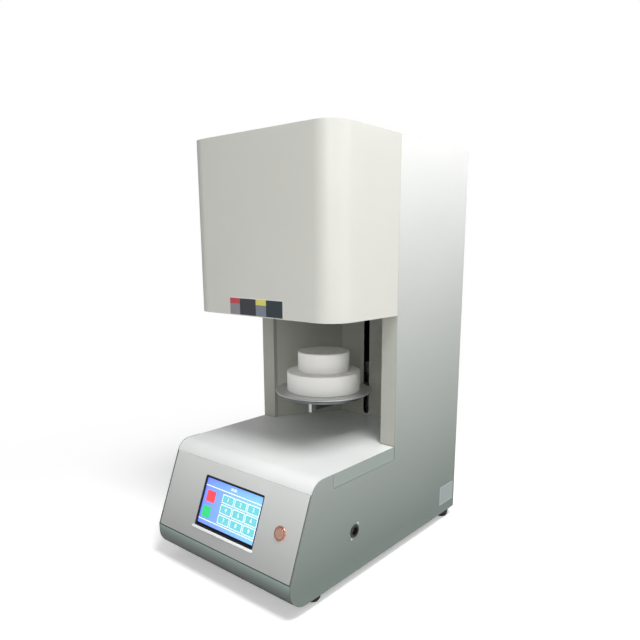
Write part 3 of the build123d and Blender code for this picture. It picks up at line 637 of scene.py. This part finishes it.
def number(name, text, height, across, up, out, material):
    """A plain number lying on the screen, made a mesh."""
    clear_selection()
    bpy.ops.object.text_add()
    piece = bpy.context.object
    piece.data.body = text
    piece.data.size = height * LINE_TO_DIGIT
    piece.data.align_x = "CENTER"
    piece.data.align_y = "CENTER"
    piece.data.extrude = 0.04 * MM
    piece.data.resolution_u = 3
    bpy.ops.object.convert(target="MESH")
    piece = named(name)
    on_fascia(piece, across, up, out - GLASS_DEPTH)
    return coat(piece, material)


# Operators

# Half the deck's width inside its side flanges, past which its skirts take a painted shade, and the
# height from which the painted shade on the side panels turns paler upwards

DECK_HALF = 173.6 * MM
SIDE_FOOT = 50 * MM


class FURNACE_OT_casing(bpy.types.Operator):
    """Paint the hood, the side panels, the deck, the loading space and the back"""
    bl_idname = "furnace.casing"
    bl_label = "Paint the casing"

    def execute(self, context):
        casing = context.scene.furnace_casing
        peel = casing.peel
        dress_rows(("shell_paint", casing.shell, "peel", 0.38, dict(tint=0.025, depth=peel),
                    "hood_shell top_cover"))
        # Painted shade on the side panels: dark at the foot, pale at the top
        side = finish("side_paint", WHITE, "peel", 0.42, tint=0.03, depth=peel)
        painted_shade_ramp(side, SIDE_FOOT, cad_high[2], casing.side, casing.side_high, 1.06)
        dress(side, "left_side_panel", "right_side_panel")
        dress_rows(("rear_paint", casing.side_high, "peel", 0.42, dict(tint=0.03, depth=peel),
                    "rear_panel"))
        deck = finish("deck_paint", casing.deck, "peel", 0.36, metallic=0.15, tint=0.04, depth=peel)
        # Painted shade: the deck's side-facing skirts take a darker grey-green than its top
        dress(painted_skirt_shade(deck, DECK_HALF, linear("8F9993")), "deck_cover")
        dress_rows(
            ("liner_paint", casing.liner, "peel", 0.5, dict(depth=peel), "alcove_liner"),
            ("base_paint", "6E7573", "peel", 0.55, dict(tint=0.08, depth=peel), "base_pan"),
            ("foot_rubber", "1B1B1C", "moulded", 0.7, dict(depth=0.08 * MM, tint=0.3),
             "front_feet rear_feet"))
        return {"FINISHED"}


class FURNACE_OT_console(bpy.types.Operator):
    """Finish the sloped fascia, its lip, the screen's parts, the button and the side socket"""
    bl_idname = "furnace.console"
    bl_label = "Finish the console"

    def execute(self, context):
        casing = context.scene.furnace_casing
        low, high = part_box("front_panel")
        fascia = finish("fascia_paint", WHITE, "peel", 0.34, metallic=0.35, tint=0.05, scale=1800.0,
                        depth=0.03 * MM)
        # Painted shade: the fascia runs from darker at its lower edge to paler at its top
        painted_shade_ramp(fascia, low.z, high.z, shade(casing.fascia, 0.72), shade(casing.fascia, 1.32))
        dress(fascia, "front_panel")
        low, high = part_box("front_lip")
        lip = finish("lip_paint", WHITE, "peel", 0.4, metallic=0.2, tint=0.04, depth=casing.peel)
        # Painted shade: the lip runs from nearly black at its foot to paler at its top
        painted_shade_ramp(lip, low.z, high.z, shade(casing.lip, 0.08), shade(casing.lip, 1.35), 2.35)
        dress(lip, "front_lip")
        dress_rows(
            ("black_plastic", "161618", "moulded", 0.45, dict(depth=0.04 * MM, tint=0.25),
             "screen_bezel side_socket mains_inlet switch_housing fan_frame fan_rotor relay_block"),
            ("grey_plastic", "5B5F62", "moulded", 0.5, dict(depth=0.04 * MM), "screen_module"),
            ("screen_glass", "0B0C0F", "peel", 0.12,
             dict(spread=0.03, depth=0.002 * MM, specular=0.6), "screen_glass"),
            ("button_metal", "D8A18E", "brushed", 0.26,
             dict(metallic=0.9, tint=0.08, depth=0.01 * MM), "button_housing"),
            ("button_cap", "E6B5A5", "brushed", 0.3,
             dict(metallic=0.75, tint=0.08, depth=0.01 * MM), "button_cap"),
            ("rocker_plastic", "1E1E20", "moulded", 0.35, dict(depth=0.03 * MM), "switch_rocker"),
            ("screw_zinc", "B9BCBE", "brushed", 0.3, dict(metallic=1.0, depth=0.01 * MM),
             "side_socket_screws rear_panel_screws"))
        return {"FINISHED"}


class FURNACE_OT_hearth(bpy.types.Operator):
    """Finish the fibre discs, the tray and what carries them"""
    bl_idname = "furnace.hearth"
    bl_label = "Finish the hearth"

    def execute(self, context):
        dress_rows(
            ("pressed_fibre", "FBFAF6", "felt", 0.92,
             dict(tint=0.03, depth=0.15 * MM, specular=0.2), "lower_hearth_disc upper_hearth_disc"),
            ("tray_steel", "DADCDB", "brushed", 0.42,
             dict(metallic=0.75, tint=0.08, depth=0.02 * MM, stretch=(1, 8, 1)), "hearth_tray"),
            ("bright_steel", "C4C6C7", "brushed", 0.25,
             dict(metallic=1.0, depth=0.01 * MM, stretch=(1, 1, 6)),
             "levelling_studs lead_screw motor_shaft"),
            ("arm_steel", "7F8283", "brushed", 0.4,
             dict(metallic=1.0, depth=0.02 * MM, stretch=(6, 1, 1)), "lift_arm levelling_springs"),
            ("mouth_steel", "9C9E9D", "brushed", 0.4, dict(metallic=1.0, depth=0.02 * MM),
             "mouth_ring chamber_plate"))
        return {"FINISHED"}


class FURNACE_OT_lift(bpy.types.Operator):
    """Finish the mast, the rods, the carriage, the screw drive and its motor"""
    bl_idname = "furnace.lift"
    bl_label = "Finish the lift"

    def execute(self, context):
        dress_rows(
            ("zinc_steel", "A8ACAE", "brushed", 0.42,
             dict(metallic=1.0, tint=0.12, depth=0.02 * MM, scale=180.0),
             "mast_plate motor_bracket"),
            ("ground_rod", "D5D7D8", "brushed", 0.14,
             dict(metallic=1.0, spread=0.04, depth=0.004 * MM, stretch=(1, 1, 0.1)), "guide_rods"),
            ("milled_alloy", "C3C6C8", "brushed", 0.34,
             dict(metallic=1.0, depth=0.015 * MM, stretch=(0.2, 1, 1)),
             "lower_bearing_block upper_bearing_block lift_carriage shaft_coupler element_clamps "
             "power_relay"),
            ("nut_brass", "C9A35B", "brushed", 0.3, dict(metallic=1.0, depth=0.01 * MM),
             "lead_nut"),
            ("bushing_polymer", "3A3E40", "moulded", 0.5, dict(depth=0.02 * MM),
             "carriage_bushings"),
            ("motor_enamel", "1A1B1D", "bands", 0.42,
             dict(metallic=0.3, scale=700.0, depth=0.04 * MM), "lift_motor"))
        return {"FINISHED"}


class FURNACE_OT_chamber(bpy.types.Operator):
    """Finish the insulation, the chamber's drum, the elements and what holds them"""
    bl_idname = "furnace.chamber"
    bl_label = "Finish the chamber"

    def execute(self, context):
        dress_rows(
            ("chamber_fibre", "EFEBDF", "felt", 0.95,
             dict(tint=0.07, depth=0.4 * MM, specular=0.15),
             "insulation_floor_ring insulation_wall insulation_roof"),
            ("drum_steel", "B4B8BA", "brushed", 0.4,
             dict(metallic=1.0, depth=0.02 * MM, scale=150.0), "chamber_casing"),
            ("element_glaze", "4A4744", "brushed", 0.35,
             dict(metallic=0.55, tint=0.2, depth=0.02 * MM), "heating_elements"),
            ("holder_ceramic", "DDD3C0", "moulded", 0.6, {}, "element_holders thermocouple"),
            ("strap_alloy", "CDD0D2", "brushed", 0.3, dict(metallic=1.0, depth=0.01 * MM),
             "element_straps"))
        return {"FINISHED"}


class FURNACE_OT_electrics(bpy.types.Operator):
    """Finish the fan guard, the transformer and the control board"""
    bl_idname = "furnace.electrics"
    bl_label = "Finish the electrics"

    def execute(self, context):
        dress_rows(
            ("guard_wire", "C9CBCC", "brushed", 0.22, dict(metallic=1.0, depth=0.005 * MM),
             "fan_guard"),
            ("core_laminations", "5D6063", "bands", 0.5,
             dict(metallic=0.8, scale=650.0, depth=0.08 * MM, stretch=(0, 1, 0)), "transformer"),
            ("board_resist", "1E6B45", "peel", 0.35, dict(depth=0.02 * MM, tint=0.2),
             "control_board"))
        return {"FINISHED"}


class FURNACE_OT_screen(bpy.types.Operator):
    """Lay the lit picture with its tiles and plain numbers on the touch glass"""
    bl_idname = "furnace.screen"
    bl_label = "Add the screen picture"

    def execute(self, context):
        looks = context.scene.furnace_screen
        back = lit("screen_background", looks.glow, looks.left, looks.right, self.share_across)
        white = self.plain("screen_white", "EAF4FA", looks.glow)
        teal = self.plain("screen_teal", "66B4BC", looks.glow * 0.9)
        red = self.plain("screen_red", "E0444C", looks.glow)
        green = self.plain("screen_green", "2FB56A", looks.glow)
        picture = screen_plate("screen_picture", *PICTURE, PICTURE_LAYER, back)
        belongs(picture, "furnace")
        left, right = PICTURE[:2]
        rules = [screen_plate("rule", left, right, v - RULE_HALF, v + RULE_HALF, KEY_LAYER, white)
                 for v in RULES]
        belongs(joined("screen_rules", rules), "furnace")
        for name, place, colour in (("screen_stop_key", STOP_KEY, red),
                                    ("screen_run_key", RUN_KEY, green)):
            key = screen_plate(name, *place, KEY_LAYER, colour, corner=2.0 * MM)
            belongs(key, "furnace")
        self.tiles(looks, white, teal)
        return {"FINISHED"}

    def share_across(self, tree, place):
        """How far a point lies across the window, from 0 to 1, with the display's dots."""
        left, right = screen_place(0.0, 0.0)[0], screen_place(1.0, 0.0)[0]
        across = mapped(tree, parts_of_place(tree, place)["X"], left, right)
        return combined(tree, "ADD", across, mapped(tree, dots(tree, place), 0.3, 0.7, -0.04, 0.04))

    def plain(self, name, code, glow):
        """Lit material of one colour."""
        colour = linear(code)
        return lit(name, glow, shade(colour, 0.92), shade(colour, 1.08))

    def tiles(self, looks, white, teal):
        """Nine tiles, each a pale frame with a coloured face and one digit, and the title."""
        frames, faces, digits = [], [], []
        line_u = looks.frame_line / SCREEN_WIDTH
        line_v = looks.frame_line / SCREEN_HEIGHT
        gap_u, gap_v = TILE_GAP
        for row in range(3):
            for column in range(3):
                u0, u1 = TILE_COLUMNS[column] + gap_u, TILE_COLUMNS[column + 1] - gap_u
                v0, v1 = TILE_ROWS[row] + gap_v, TILE_ROWS[row + 1] - gap_v
                frames.append(screen_plate("frame", u0, u1, v0, v1, KEY_LAYER, white))
                faces.append(screen_plate(
                    "face", u0 + line_u, u1 - line_u, v0 + line_v, v1 - line_v,
                    KEY_LAYER + FACE_LAYER, teal))
                across, up = screen_place((u0 + u1) / 2, (v0 + v1) / 2)
                digits.append(number("digit", str(3 * row + column + 1), looks.digit_height,
                                     across, up, KEY_LAYER + DIGIT_LAYER, white))
        across, up = screen_place(*TITLE_PLACE)
        digits.append(number("title", "00:00", TITLE_HEIGHT, across, up, KEY_LAYER, white))
        belongs(joined("screen_tile_frames", frames), "furnace")
        belongs(joined("screen_tile_faces", faces), "furnace")
        belongs(joined("screen_numbers", digits), "furnace")


# Dark strips in the fascia's gaps are painted shadow; the near-white strip along its top is a
# painted highlight
SEAM_WIDTH = 1.3 * MM
SEAM_THICKNESS = 0.15 * MM
EDGE_WIDTH = 0.9 * MM
EDGE_INSET = 0.5 * MM


class FURNACE_OT_fascia_seams(bpy.types.Operator):
    """Lay dark strips in the gaps round the fascia as painted shadow, and a near-white strip along
    its top as a painted highlight
    """
    bl_idname = "furnace.fascia_seams"
    bl_label = "Add the fascia's seams"

    def execute(self, context):
        low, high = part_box("front_panel")
        length = (high.z - low.z - PANEL_SHEET * sin(PANEL_TILT)) / cos(PANEL_TILT)
        reach = high.x - SEAM_WIDTH / 2
        # Painted shadow: dark grey-green strips in the gaps at both sides and the foot of the
        # fascia
        seal = finish("seam_seal", "39433F", "moulded", 0.7, depth=0.02 * MM)
        strips = [
            self.strip("seal", SEAM_WIDTH, length, -reach, length / 2),
            self.strip("seal", SEAM_WIDTH, length, reach, length / 2),
            self.strip("seal", 2 * high.x, SEAM_WIDTH, 0.0, SEAM_WIDTH / 2)]
        belongs(coat(joined("fascia_seal", strips), seal), "furnace")
        # Painted highlight: a near-white strip just below the fascia's top edge
        edge = self.strip("fascia_bright_edge", 2 * (reach - SEAM_WIDTH), EDGE_WIDTH, 0.0,
                          length - EDGE_INSET)
        coat(edge, finish("bright_edge", "F4F5F5", "peel", 0.3, tint=0.02, depth=0.01 * MM))
        belongs(edge, "furnace")
        return {"FINISHED"}

    def strip(self, name, width, height, across, up):
        """One thin strip lying on the fascia."""
        piece = plate(name, width, height, SEAM_THICKNESS, 0.0, SEAM_THICKNESS * 0.4)
        return on_fascia(piece, across, up, 0.0)


# Sizes of the strip that carries the painted highlight along the window's lower edge
LIP_HEIGHT = 4.8 * MM
LIP_OVERHANG = 3.0 * MM
LIP_SHIFT = -1.6 * MM
LIP_THICKNESS = 1.6 * MM
LIP_CORNER = 2.3 * MM
LIP_RIM = 0.6 * MM


class FURNACE_OT_window_lip(bpy.types.Operator):
    """Add the strip along the screen window's lower edge, near-white: a painted highlight of that
    edge
    """
    bl_idname = "furnace.window_lip"
    bl_label = "Add the window lip"

    def execute(self, context):
        width = SCREEN_WIDTH + 2 * LIP_OVERHANG
        lip = plate("window_lip", width, LIP_HEIGHT, LIP_THICKNESS, LIP_CORNER, LIP_RIM)
        on_fascia(lip, LIP_SHIFT, SCREEN_LOW - LIP_HEIGHT / 2, 0.0)
        # Near-white and glossy: a painted highlight
        coat(lip, finish("lip_chrome", "F2F3F3", "peel", 0.2, tint=0.02, depth=0.01 * MM))
        belongs(smooth(lip), "furnace")
        return {"FINISHED"}


FOIL = 0.15 * MM
FOIL_RIM = 0.05 * MM


def foil(name, size, corner, place, turn, colour, roughness, tint):
    """A thin foil or plate stuck on the furnace, width and height across its own face."""
    piece = plate(name, size[0], size[1], FOIL, corner, FOIL_RIM)
    piece.location = place
    piece.rotation_euler = turn
    settle(piece)
    coat(piece, finish(name, colour, "peel", roughness, tint=tint, depth=0.01 * MM))
    belongs(piece, "furnace")


STRIP_LEFT = -70.8 * MM
STRIP_RISE = 1.6 * MM
STRIP_HEIGHT = 29.0 * MM
STRIP_EDGE = 1.0 * MM
BAND_FROM = 0.66
BAND_OUT = 0.12 * MM
STRIP_SINK = 0.02 * MM
# Name, width in millimetres, colour, and the colour of the band along its top
STRIP_FIELDS = (
    ("grey_red", 26.0, "8D8A92", "C04A50"), ("dark_left", 41.0, "3A3B42", None),
    ("grey_yellow", 25.6, "7D8490", "DCD270"), ("dark_right", 39.5, "2F3B40", None))


class FURNACE_OT_hood_strip(bpy.types.Operator):
    """Stick the strip of plain coloured fields on the hood's lower front edge"""
    bl_idname = "furnace.hood_strip"
    bl_label = "Add the hood strip"

    def execute(self, context):
        low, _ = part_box("hood_shell")
        bottom = low.z + STRIP_RISE
        top = bottom + STRIP_HEIGHT
        x = STRIP_LEFT
        for name, width, colour, band in STRIP_FIELDS:
            end = x + width * MM
            self.field(f"hood_field_{name}", x, end, bottom, top, low.y, colour)
            if band:
                self.field(f"hood_band_{name}", x, end, bottom + STRIP_HEIGHT * BAND_FROM, top,
                           low.y - BAND_OUT, band)
            x = end
        self.field("hood_strip_edge", STRIP_LEFT, x, top, top + STRIP_EDGE, low.y, "E9EAE8")
        return {"FINISHED"}

    def field(self, name, x0, x1, z0, z1, front, colour):
        """One foil field standing on the hood's front."""
        place = ((x0 + x1) / 2, front + STRIP_SINK, (z0 + z1) / 2)
        foil(name, (x1 - x0, z1 - z0), 0.0, place, (pi / 2, 0, 0), colour, 0.45, 0.05)


SIDE_PLATE_Y = (199.9 * MM, 255.4 * MM)
SIDE_PLATE_Z = (41 * MM, 82 * MM)
SIDE_PLATE_CORNER = 1.0 * MM
SIDE_PLATE_SINK = 0.05 * MM


class FURNACE_OT_rating_plate(bpy.types.Operator):
    """Add the bare plate low on the right side"""
    bl_idname = "furnace.rating_plate"
    bl_label = "Add the side plate"

    def execute(self, context):
        _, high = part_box("right_side_panel")
        (y0, y1), (z0, z1) = SIDE_PLATE_Y, SIDE_PLATE_Z
        for name, inset, out, colour in (("side_plate_border", 0.0, 0.0, "BFC7C4"),
                                         ("side_plate_face", 1.2 * MM, 0.1 * MM, "8E9A99")):
            size = (z1 - z0 - 2 * inset, y1 - y0 - 2 * inset)
            place = (high.x + out - SIDE_PLATE_SINK, (y0 + y1) / 2, (z0 + z1) / 2)
            foil(name, size, SIDE_PLATE_CORNER, place, (0, pi / 2, 0), colour, 0.4, 0.04)
        return {"FINISHED"}


# The hearth's levelling studs and springs, on one circle; the first stands at the front

LEVELLING_CIRCLE = 41.0 * MM
LEVELLING_ANGLES = (-90, 30, 150)
SPRING_RADIUS = 4.4 * MM
STUD_RADIUS = 2.0 * MM
NUT_RADIUS = 4.0 * MM
SHORT_NUT = 7.0 * MM
SUPPORT_SHEET = 4.0 * MM


def levelling_places():
    """Where the studs stand, seen from above."""
    low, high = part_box("hearth_tray")
    centre = (low + high) / 2
    return [(centre.x + LEVELLING_CIRCLE * cos(radians(angle)),
             centre.y + LEVELLING_CIRCLE * sin(radians(angle))) for angle in LEVELLING_ANGLES]


class FURNACE_OT_springs(bpy.types.Operator):
    """Wind the three levelling springs between the support plate and the tray"""
    bl_idname = "furnace.springs"
    bl_label = "Wind the springs"

    def execute(self, context):
        sizes = context.scene.furnace_fittings
        low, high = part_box("levelling_springs")
        wire = sizes.spring_wire / 2
        rise = (high.z - low.z - 2 * wire) / sizes.spring_turns
        coil = wound("spring_coil", 12, wire, 0, SPRING_RADIUS, wire, rise, sizes.spring_turns, 28)
        smooth(coil, 60)
        springs = []
        for index, (across, along) in enumerate(levelling_places()):
            springs.append(copied(coil, f"spring_{index}"))
            springs[-1].location = (across, along, low.z)
            settle(springs[-1])
        bpy.data.objects.remove(coil)
        springs = joined("wound_springs", springs)
        coat(springs, finish("spring_wire", "B9BBBC", "brushed", 0.28, metallic=1.0,
                             depth=0.005 * MM))
        belongs(springs, "hearth_lift")
        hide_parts("levelling_springs")
        return {"FINISHED"}


class FURNACE_OT_studs(bpy.types.Operator):
    """Turn the levelling studs: a long round nut at the front, short ones behind"""
    bl_idname = "furnace.studs"
    bl_label = "Turn the studs"

    def execute(self, context):
        low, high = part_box("levelling_studs")
        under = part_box("levelling_springs")[0].z - SUPPORT_SHEET
        pieces = []
        for index, (across, along) in enumerate(levelling_places()):
            foot = under - SHORT_NUT if index else low.z
            pieces.append(round_bar(STUD_RADIUS, (foot + under) / 2, high.z, across, along))
            pieces.append(round_bar(NUT_RADIUS, foot, under, across, along))
        studs = joined("turned_studs", pieces)
        coat(studs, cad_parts["levelling_studs"].data.materials[0])
        belongs(smooth(studs), "hearth_lift")
        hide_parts("levelling_studs")
        return {"FINISHED"}


LOUVRES_ACROSS = (-60.0 * MM, 60.0 * MM)
LOUVRES_MIDDLE = 379.0 * MM
LOUVRE_SCREEN = (66.0 * MM, 0.3 * MM, 112.0 * MM)
LOUVRE_GAP = 0.2 * MM


class FURNACE_OT_louvre_screens(bpy.types.Operator):
    """Hang a fine black screen behind each field of louvres in the rear panel"""
    bl_idname = "furnace.louvre_screens"
    bl_label = "Add the louvre screens"

    def execute(self, context):
        middle_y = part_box("rear_panel")[0].y - LOUVRE_GAP - LOUVRE_SCREEN[1] / 2
        fields = [cuboid("field", (across, middle_y, LOUVRES_MIDDLE), LOUVRE_SCREEN)
                  for across in LOUVRES_ACROSS]
        screens = joined("louvre_screens", fields)
        coat(screens, finish("fine_screen", "0E0F10", "moulded", 0.9, depth=0.01 * MM))
        belongs(screens, "furnace")
        return {"FINISHED"}


THREAD_STARTS = 4
JOURNAL_RADIUS = 4.0 * MM
JOURNAL_GAP = 0.5 * MM


class FURNACE_OT_thread(bpy.types.Operator):
    """Wind the lead screw's four-start thread on its core, between the two journals"""
    bl_idname = "furnace.thread"
    bl_label = "Wind the thread"

    def execute(self, context):
        sizes = context.scene.furnace_fittings
        lead, depth = sizes.thread_lead, sizes.thread_depth
        low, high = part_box("lead_screw")
        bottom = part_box("lower_bearing_block")[1].z + JOURNAL_GAP
        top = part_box("upper_bearing_block")[0].z - JOURNAL_GAP
        root = (high.x - low.x) / 2 - depth
        turns = int((top - bottom) / lead) - 1
        start = (top + bottom - turns * lead) / 2
        ridge = wound("thread_ridge", 8, depth / cos(pi / 8), pi / 8, root, start, lead, turns, 24)
        pieces = [round_bar(root, bottom, top), round_bar(JOURNAL_RADIUS, low.z, high.z)]
        for index in range(THREAD_STARTS):
            pieces.append(copied(ridge, f"thread_start_{index}"))
            pieces[-1].rotation_euler = (0, 0, 2 * pi / THREAD_STARTS * index)
            settle(pieces[-1])
        bpy.data.objects.remove(ridge)
        screw = joined("threaded_screw", pieces)
        screw.location = ((low.x + high.x) / 2, (low.y + high.y) / 2, 0)
        settle(screw)
        # Painted shade: the screw is near black, standing for the shade inside the casing rather
        # than bright steel
        coat(screw, finish("screw_steel", "1E1F20", "brushed", 0.7, metallic=0.2, depth=0.01 * MM))
        belongs(smooth(screw, 40), "screw_drive")
        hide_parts("lead_screw")
        return {"FINISHED"}


# Name, place, target and size of each lamp, in metres; its power is the setting of that name
LAMPS = (
    ("side_lamp", (1.1, 0.45, 1.75), (0.17, 0.1, 0.7), 1.0),
    ("front_lamp", (1.0, -1.5, 0.95), (0.0, -0.05, 0.35), 0.8),
    ("top_lamp", (0.85, -0.4, 2.2), (0.05, -0.14, 0.25), 0.6))
FLOOR_WIDTH = 16.0
FLOOR_GLOW = 0.33
FADE_FROM, FADE_TO = 0.45, 1.15

# The photograph's camera: place in metres, turn in degrees, lens in millimetres, picture shift
CAMERA_PLACE = (0.75905, -0.8647, 0.5867)
CAMERA_TURN, CAMERA_TIP, CAMERA_ROLL = 38.97, 78.16, 0.165
CAMERA_LENS = 33.10
CAMERA_SHIFT = (-0.0326, 0.0824)


class FURNACE_OT_stage(bpy.types.Operator):
    """Set up the floor, the lamps, the even light and the camera"""
    bl_idname = "furnace.stage"
    bl_label = "Set the stage"

    def execute(self, context):
        looks = context.scene.furnace_stage
        self.add_floor(looks)
        self.add_world(context, looks)
        for name, place, target, size in LAMPS:
            self.add_lamp(name, getattr(looks, name), place, target, size)
        self.add_camera(context)
        context.scene.view_settings.view_transform = "Standard"
        return {"FINISHED"}

    def add_floor(self, looks):
        """A wide pale floor that keeps the shadow and fades to the backdrop's white far away."""
        clear_selection()
        bpy.ops.mesh.primitive_plane_add(size=FLOOR_WIDTH)
        floor = named("floor")
        material, tree, shader, place = blank("floor_paper")
        nodes, links = tree.nodes, tree.links
        grain = noise(tree, place, 40.0)
        links.new(blended(tree, grain, shade(looks.floor, 0.985), shade(looks.floor)),
                  shader["Base Color"])
        shader["Roughness"].default_value = 0.85
        shader["Specular IOR Level"].default_value = 0.1
        direct = nodes.new("ShaderNodeLightPath").outputs["Is Camera Ray"]
        glow = self.emission(tree, combined(tree, "MULTIPLY", direct, FLOOR_GLOW))
        both = nodes.new("ShaderNodeAddShader")
        links.new(nodes["Principled BSDF"].outputs["BSDF"], both.inputs[0])
        links.new(glow, both.inputs[1])
        far = nodes.new("ShaderNodeVectorMath")
        far.operation = "LENGTH"
        links.new(place, far.inputs[0])
        away = mapped(tree, far.outputs["Value"], FADE_FROM, FADE_TO)
        fade = nodes.new("ShaderNodeMixShader")
        links.new(combined(tree, "MULTIPLY", away, direct), fade.inputs["Fac"])
        links.new(both.outputs["Shader"], fade.inputs[1])
        links.new(self.emission(tree, 1.0), fade.inputs[2])
        links.new(fade.outputs["Shader"], nodes["Material Output"].inputs["Surface"])
        coat(floor, material)

    def emission(self, tree, strength):
        """Plain white light of a strength given as a number or a socket."""
        node = tree.nodes.new("ShaderNodeEmission")
        node.inputs["Color"].default_value = WHITE
        feed(tree, strength, node.inputs["Strength"])
        return node.outputs["Emission"]

    def add_world(self, context, looks):
        """Even light all round, which the camera sees as plain white, through glass too."""
        world = bpy.data.worlds.new("even_light")
        world.use_nodes = True
        context.scene.world = world
        tree = world.node_tree
        nodes, links = tree.nodes, tree.links
        ground, seen = nodes["Background"], nodes.new("ShaderNodeBackground")
        for node, strength in ((ground, looks.world), (seen, 1.0)):
            node.inputs["Color"].default_value = WHITE
            node.inputs["Strength"].default_value = strength
        path = nodes.new("ShaderNodeLightPath").outputs
        mix = nodes.new("ShaderNodeMixShader")
        links.new(combined(tree, "MAXIMUM", path["Is Camera Ray"], path["Is Transmission Ray"]),
                  mix.inputs["Fac"])
        links.new(ground.outputs["Background"], mix.inputs[1])
        links.new(seen.outputs["Background"], mix.inputs[2])
        links.new(mix.outputs["Shader"], nodes["World Output"].inputs["Surface"])

    def add_lamp(self, name, power, place, target, size):
        """A large square lamp aimed at a point."""
        bpy.ops.object.light_add(type="AREA", location=place)
        lamp = bpy.context.object
        lamp.name = name
        lamp.data.energy = power
        lamp.data.shape = "SQUARE"
        lamp.data.size = size
        aim = Vector(target) - Vector(place)
        lamp.rotation_euler = aim.to_track_quat("-Z", "Y").to_euler()

    def add_camera(self, context):
        """The photograph's viewing angle."""
        bpy.ops.object.camera_add(location=CAMERA_PLACE)
        camera = bpy.context.object
        camera.name = "photo_camera"
        turn = (Matrix.Rotation(radians(CAMERA_TURN), 3, "Z")
                @ Matrix.Rotation(radians(CAMERA_TIP), 3, "X")
                @ Matrix.Rotation(radians(CAMERA_ROLL), 3, "Z"))
        camera.rotation_euler = turn.to_euler()
        camera.data.sensor_width = 36.0
        camera.data.lens = CAMERA_LENS
        camera.data.shift_x, camera.data.shift_y = CAMERA_SHIFT
        camera.data.clip_start = 0.01
        context.scene.camera = camera


OPERATORS = (
    FURNACE_OT_casing,
    FURNACE_OT_console,
    FURNACE_OT_hearth,
    FURNACE_OT_lift,
    FURNACE_OT_chamber,
    FURNACE_OT_electrics,
    FURNACE_OT_screen,
    FURNACE_OT_fascia_seams,
    FURNACE_OT_window_lip,
    FURNACE_OT_hood_strip,
    FURNACE_OT_rating_plate,
    FURNACE_OT_springs,
    FURNACE_OT_studs,
    FURNACE_OT_louvre_screens,
    FURNACE_OT_thread,
    FURNACE_OT_stage,
)


class FURNACE_PT_looks(bpy.types.Panel):
    """The furnace's pieces and finishes"""
    bl_label = "Sintering furnace"
    bl_idname = "FURNACE_PT_looks"
    bl_space_type = "VIEW_3D"
    bl_region_type = "UI"
    bl_category = "Furnace"

    def draw(self, context):
        for operator in OPERATORS:
            self.layout.operator(operator.bl_idname)


SETTINGS = (
    ("furnace_casing", CasingSettings),
    ("furnace_screen", ScreenSettings),
    ("furnace_fittings", FittingSettings),
    ("furnace_stage", StageSettings),
)


def register():
    for attribute, group in SETTINGS:
        bpy.utils.register_class(group)
        setattr(bpy.types.Scene, attribute, PointerProperty(type=group))
    for cls in OPERATORS + (FURNACE_PT_looks,):
        bpy.utils.register_class(cls)


def unregister():
    for cls in reversed(OPERATORS + (FURNACE_PT_looks,)):
        bpy.utils.unregister_class(cls)
    for attribute, group in reversed(SETTINGS):
        delattr(bpy.types.Scene, attribute)
        bpy.utils.unregister_class(group)


def main():
    """Run every operator in order."""
    register()
    for operator in OPERATORS:
        family, action = operator.bl_idname.split(".")
        getattr(getattr(bpy.ops, family), action)()


if __name__ == "__main__":
    main()
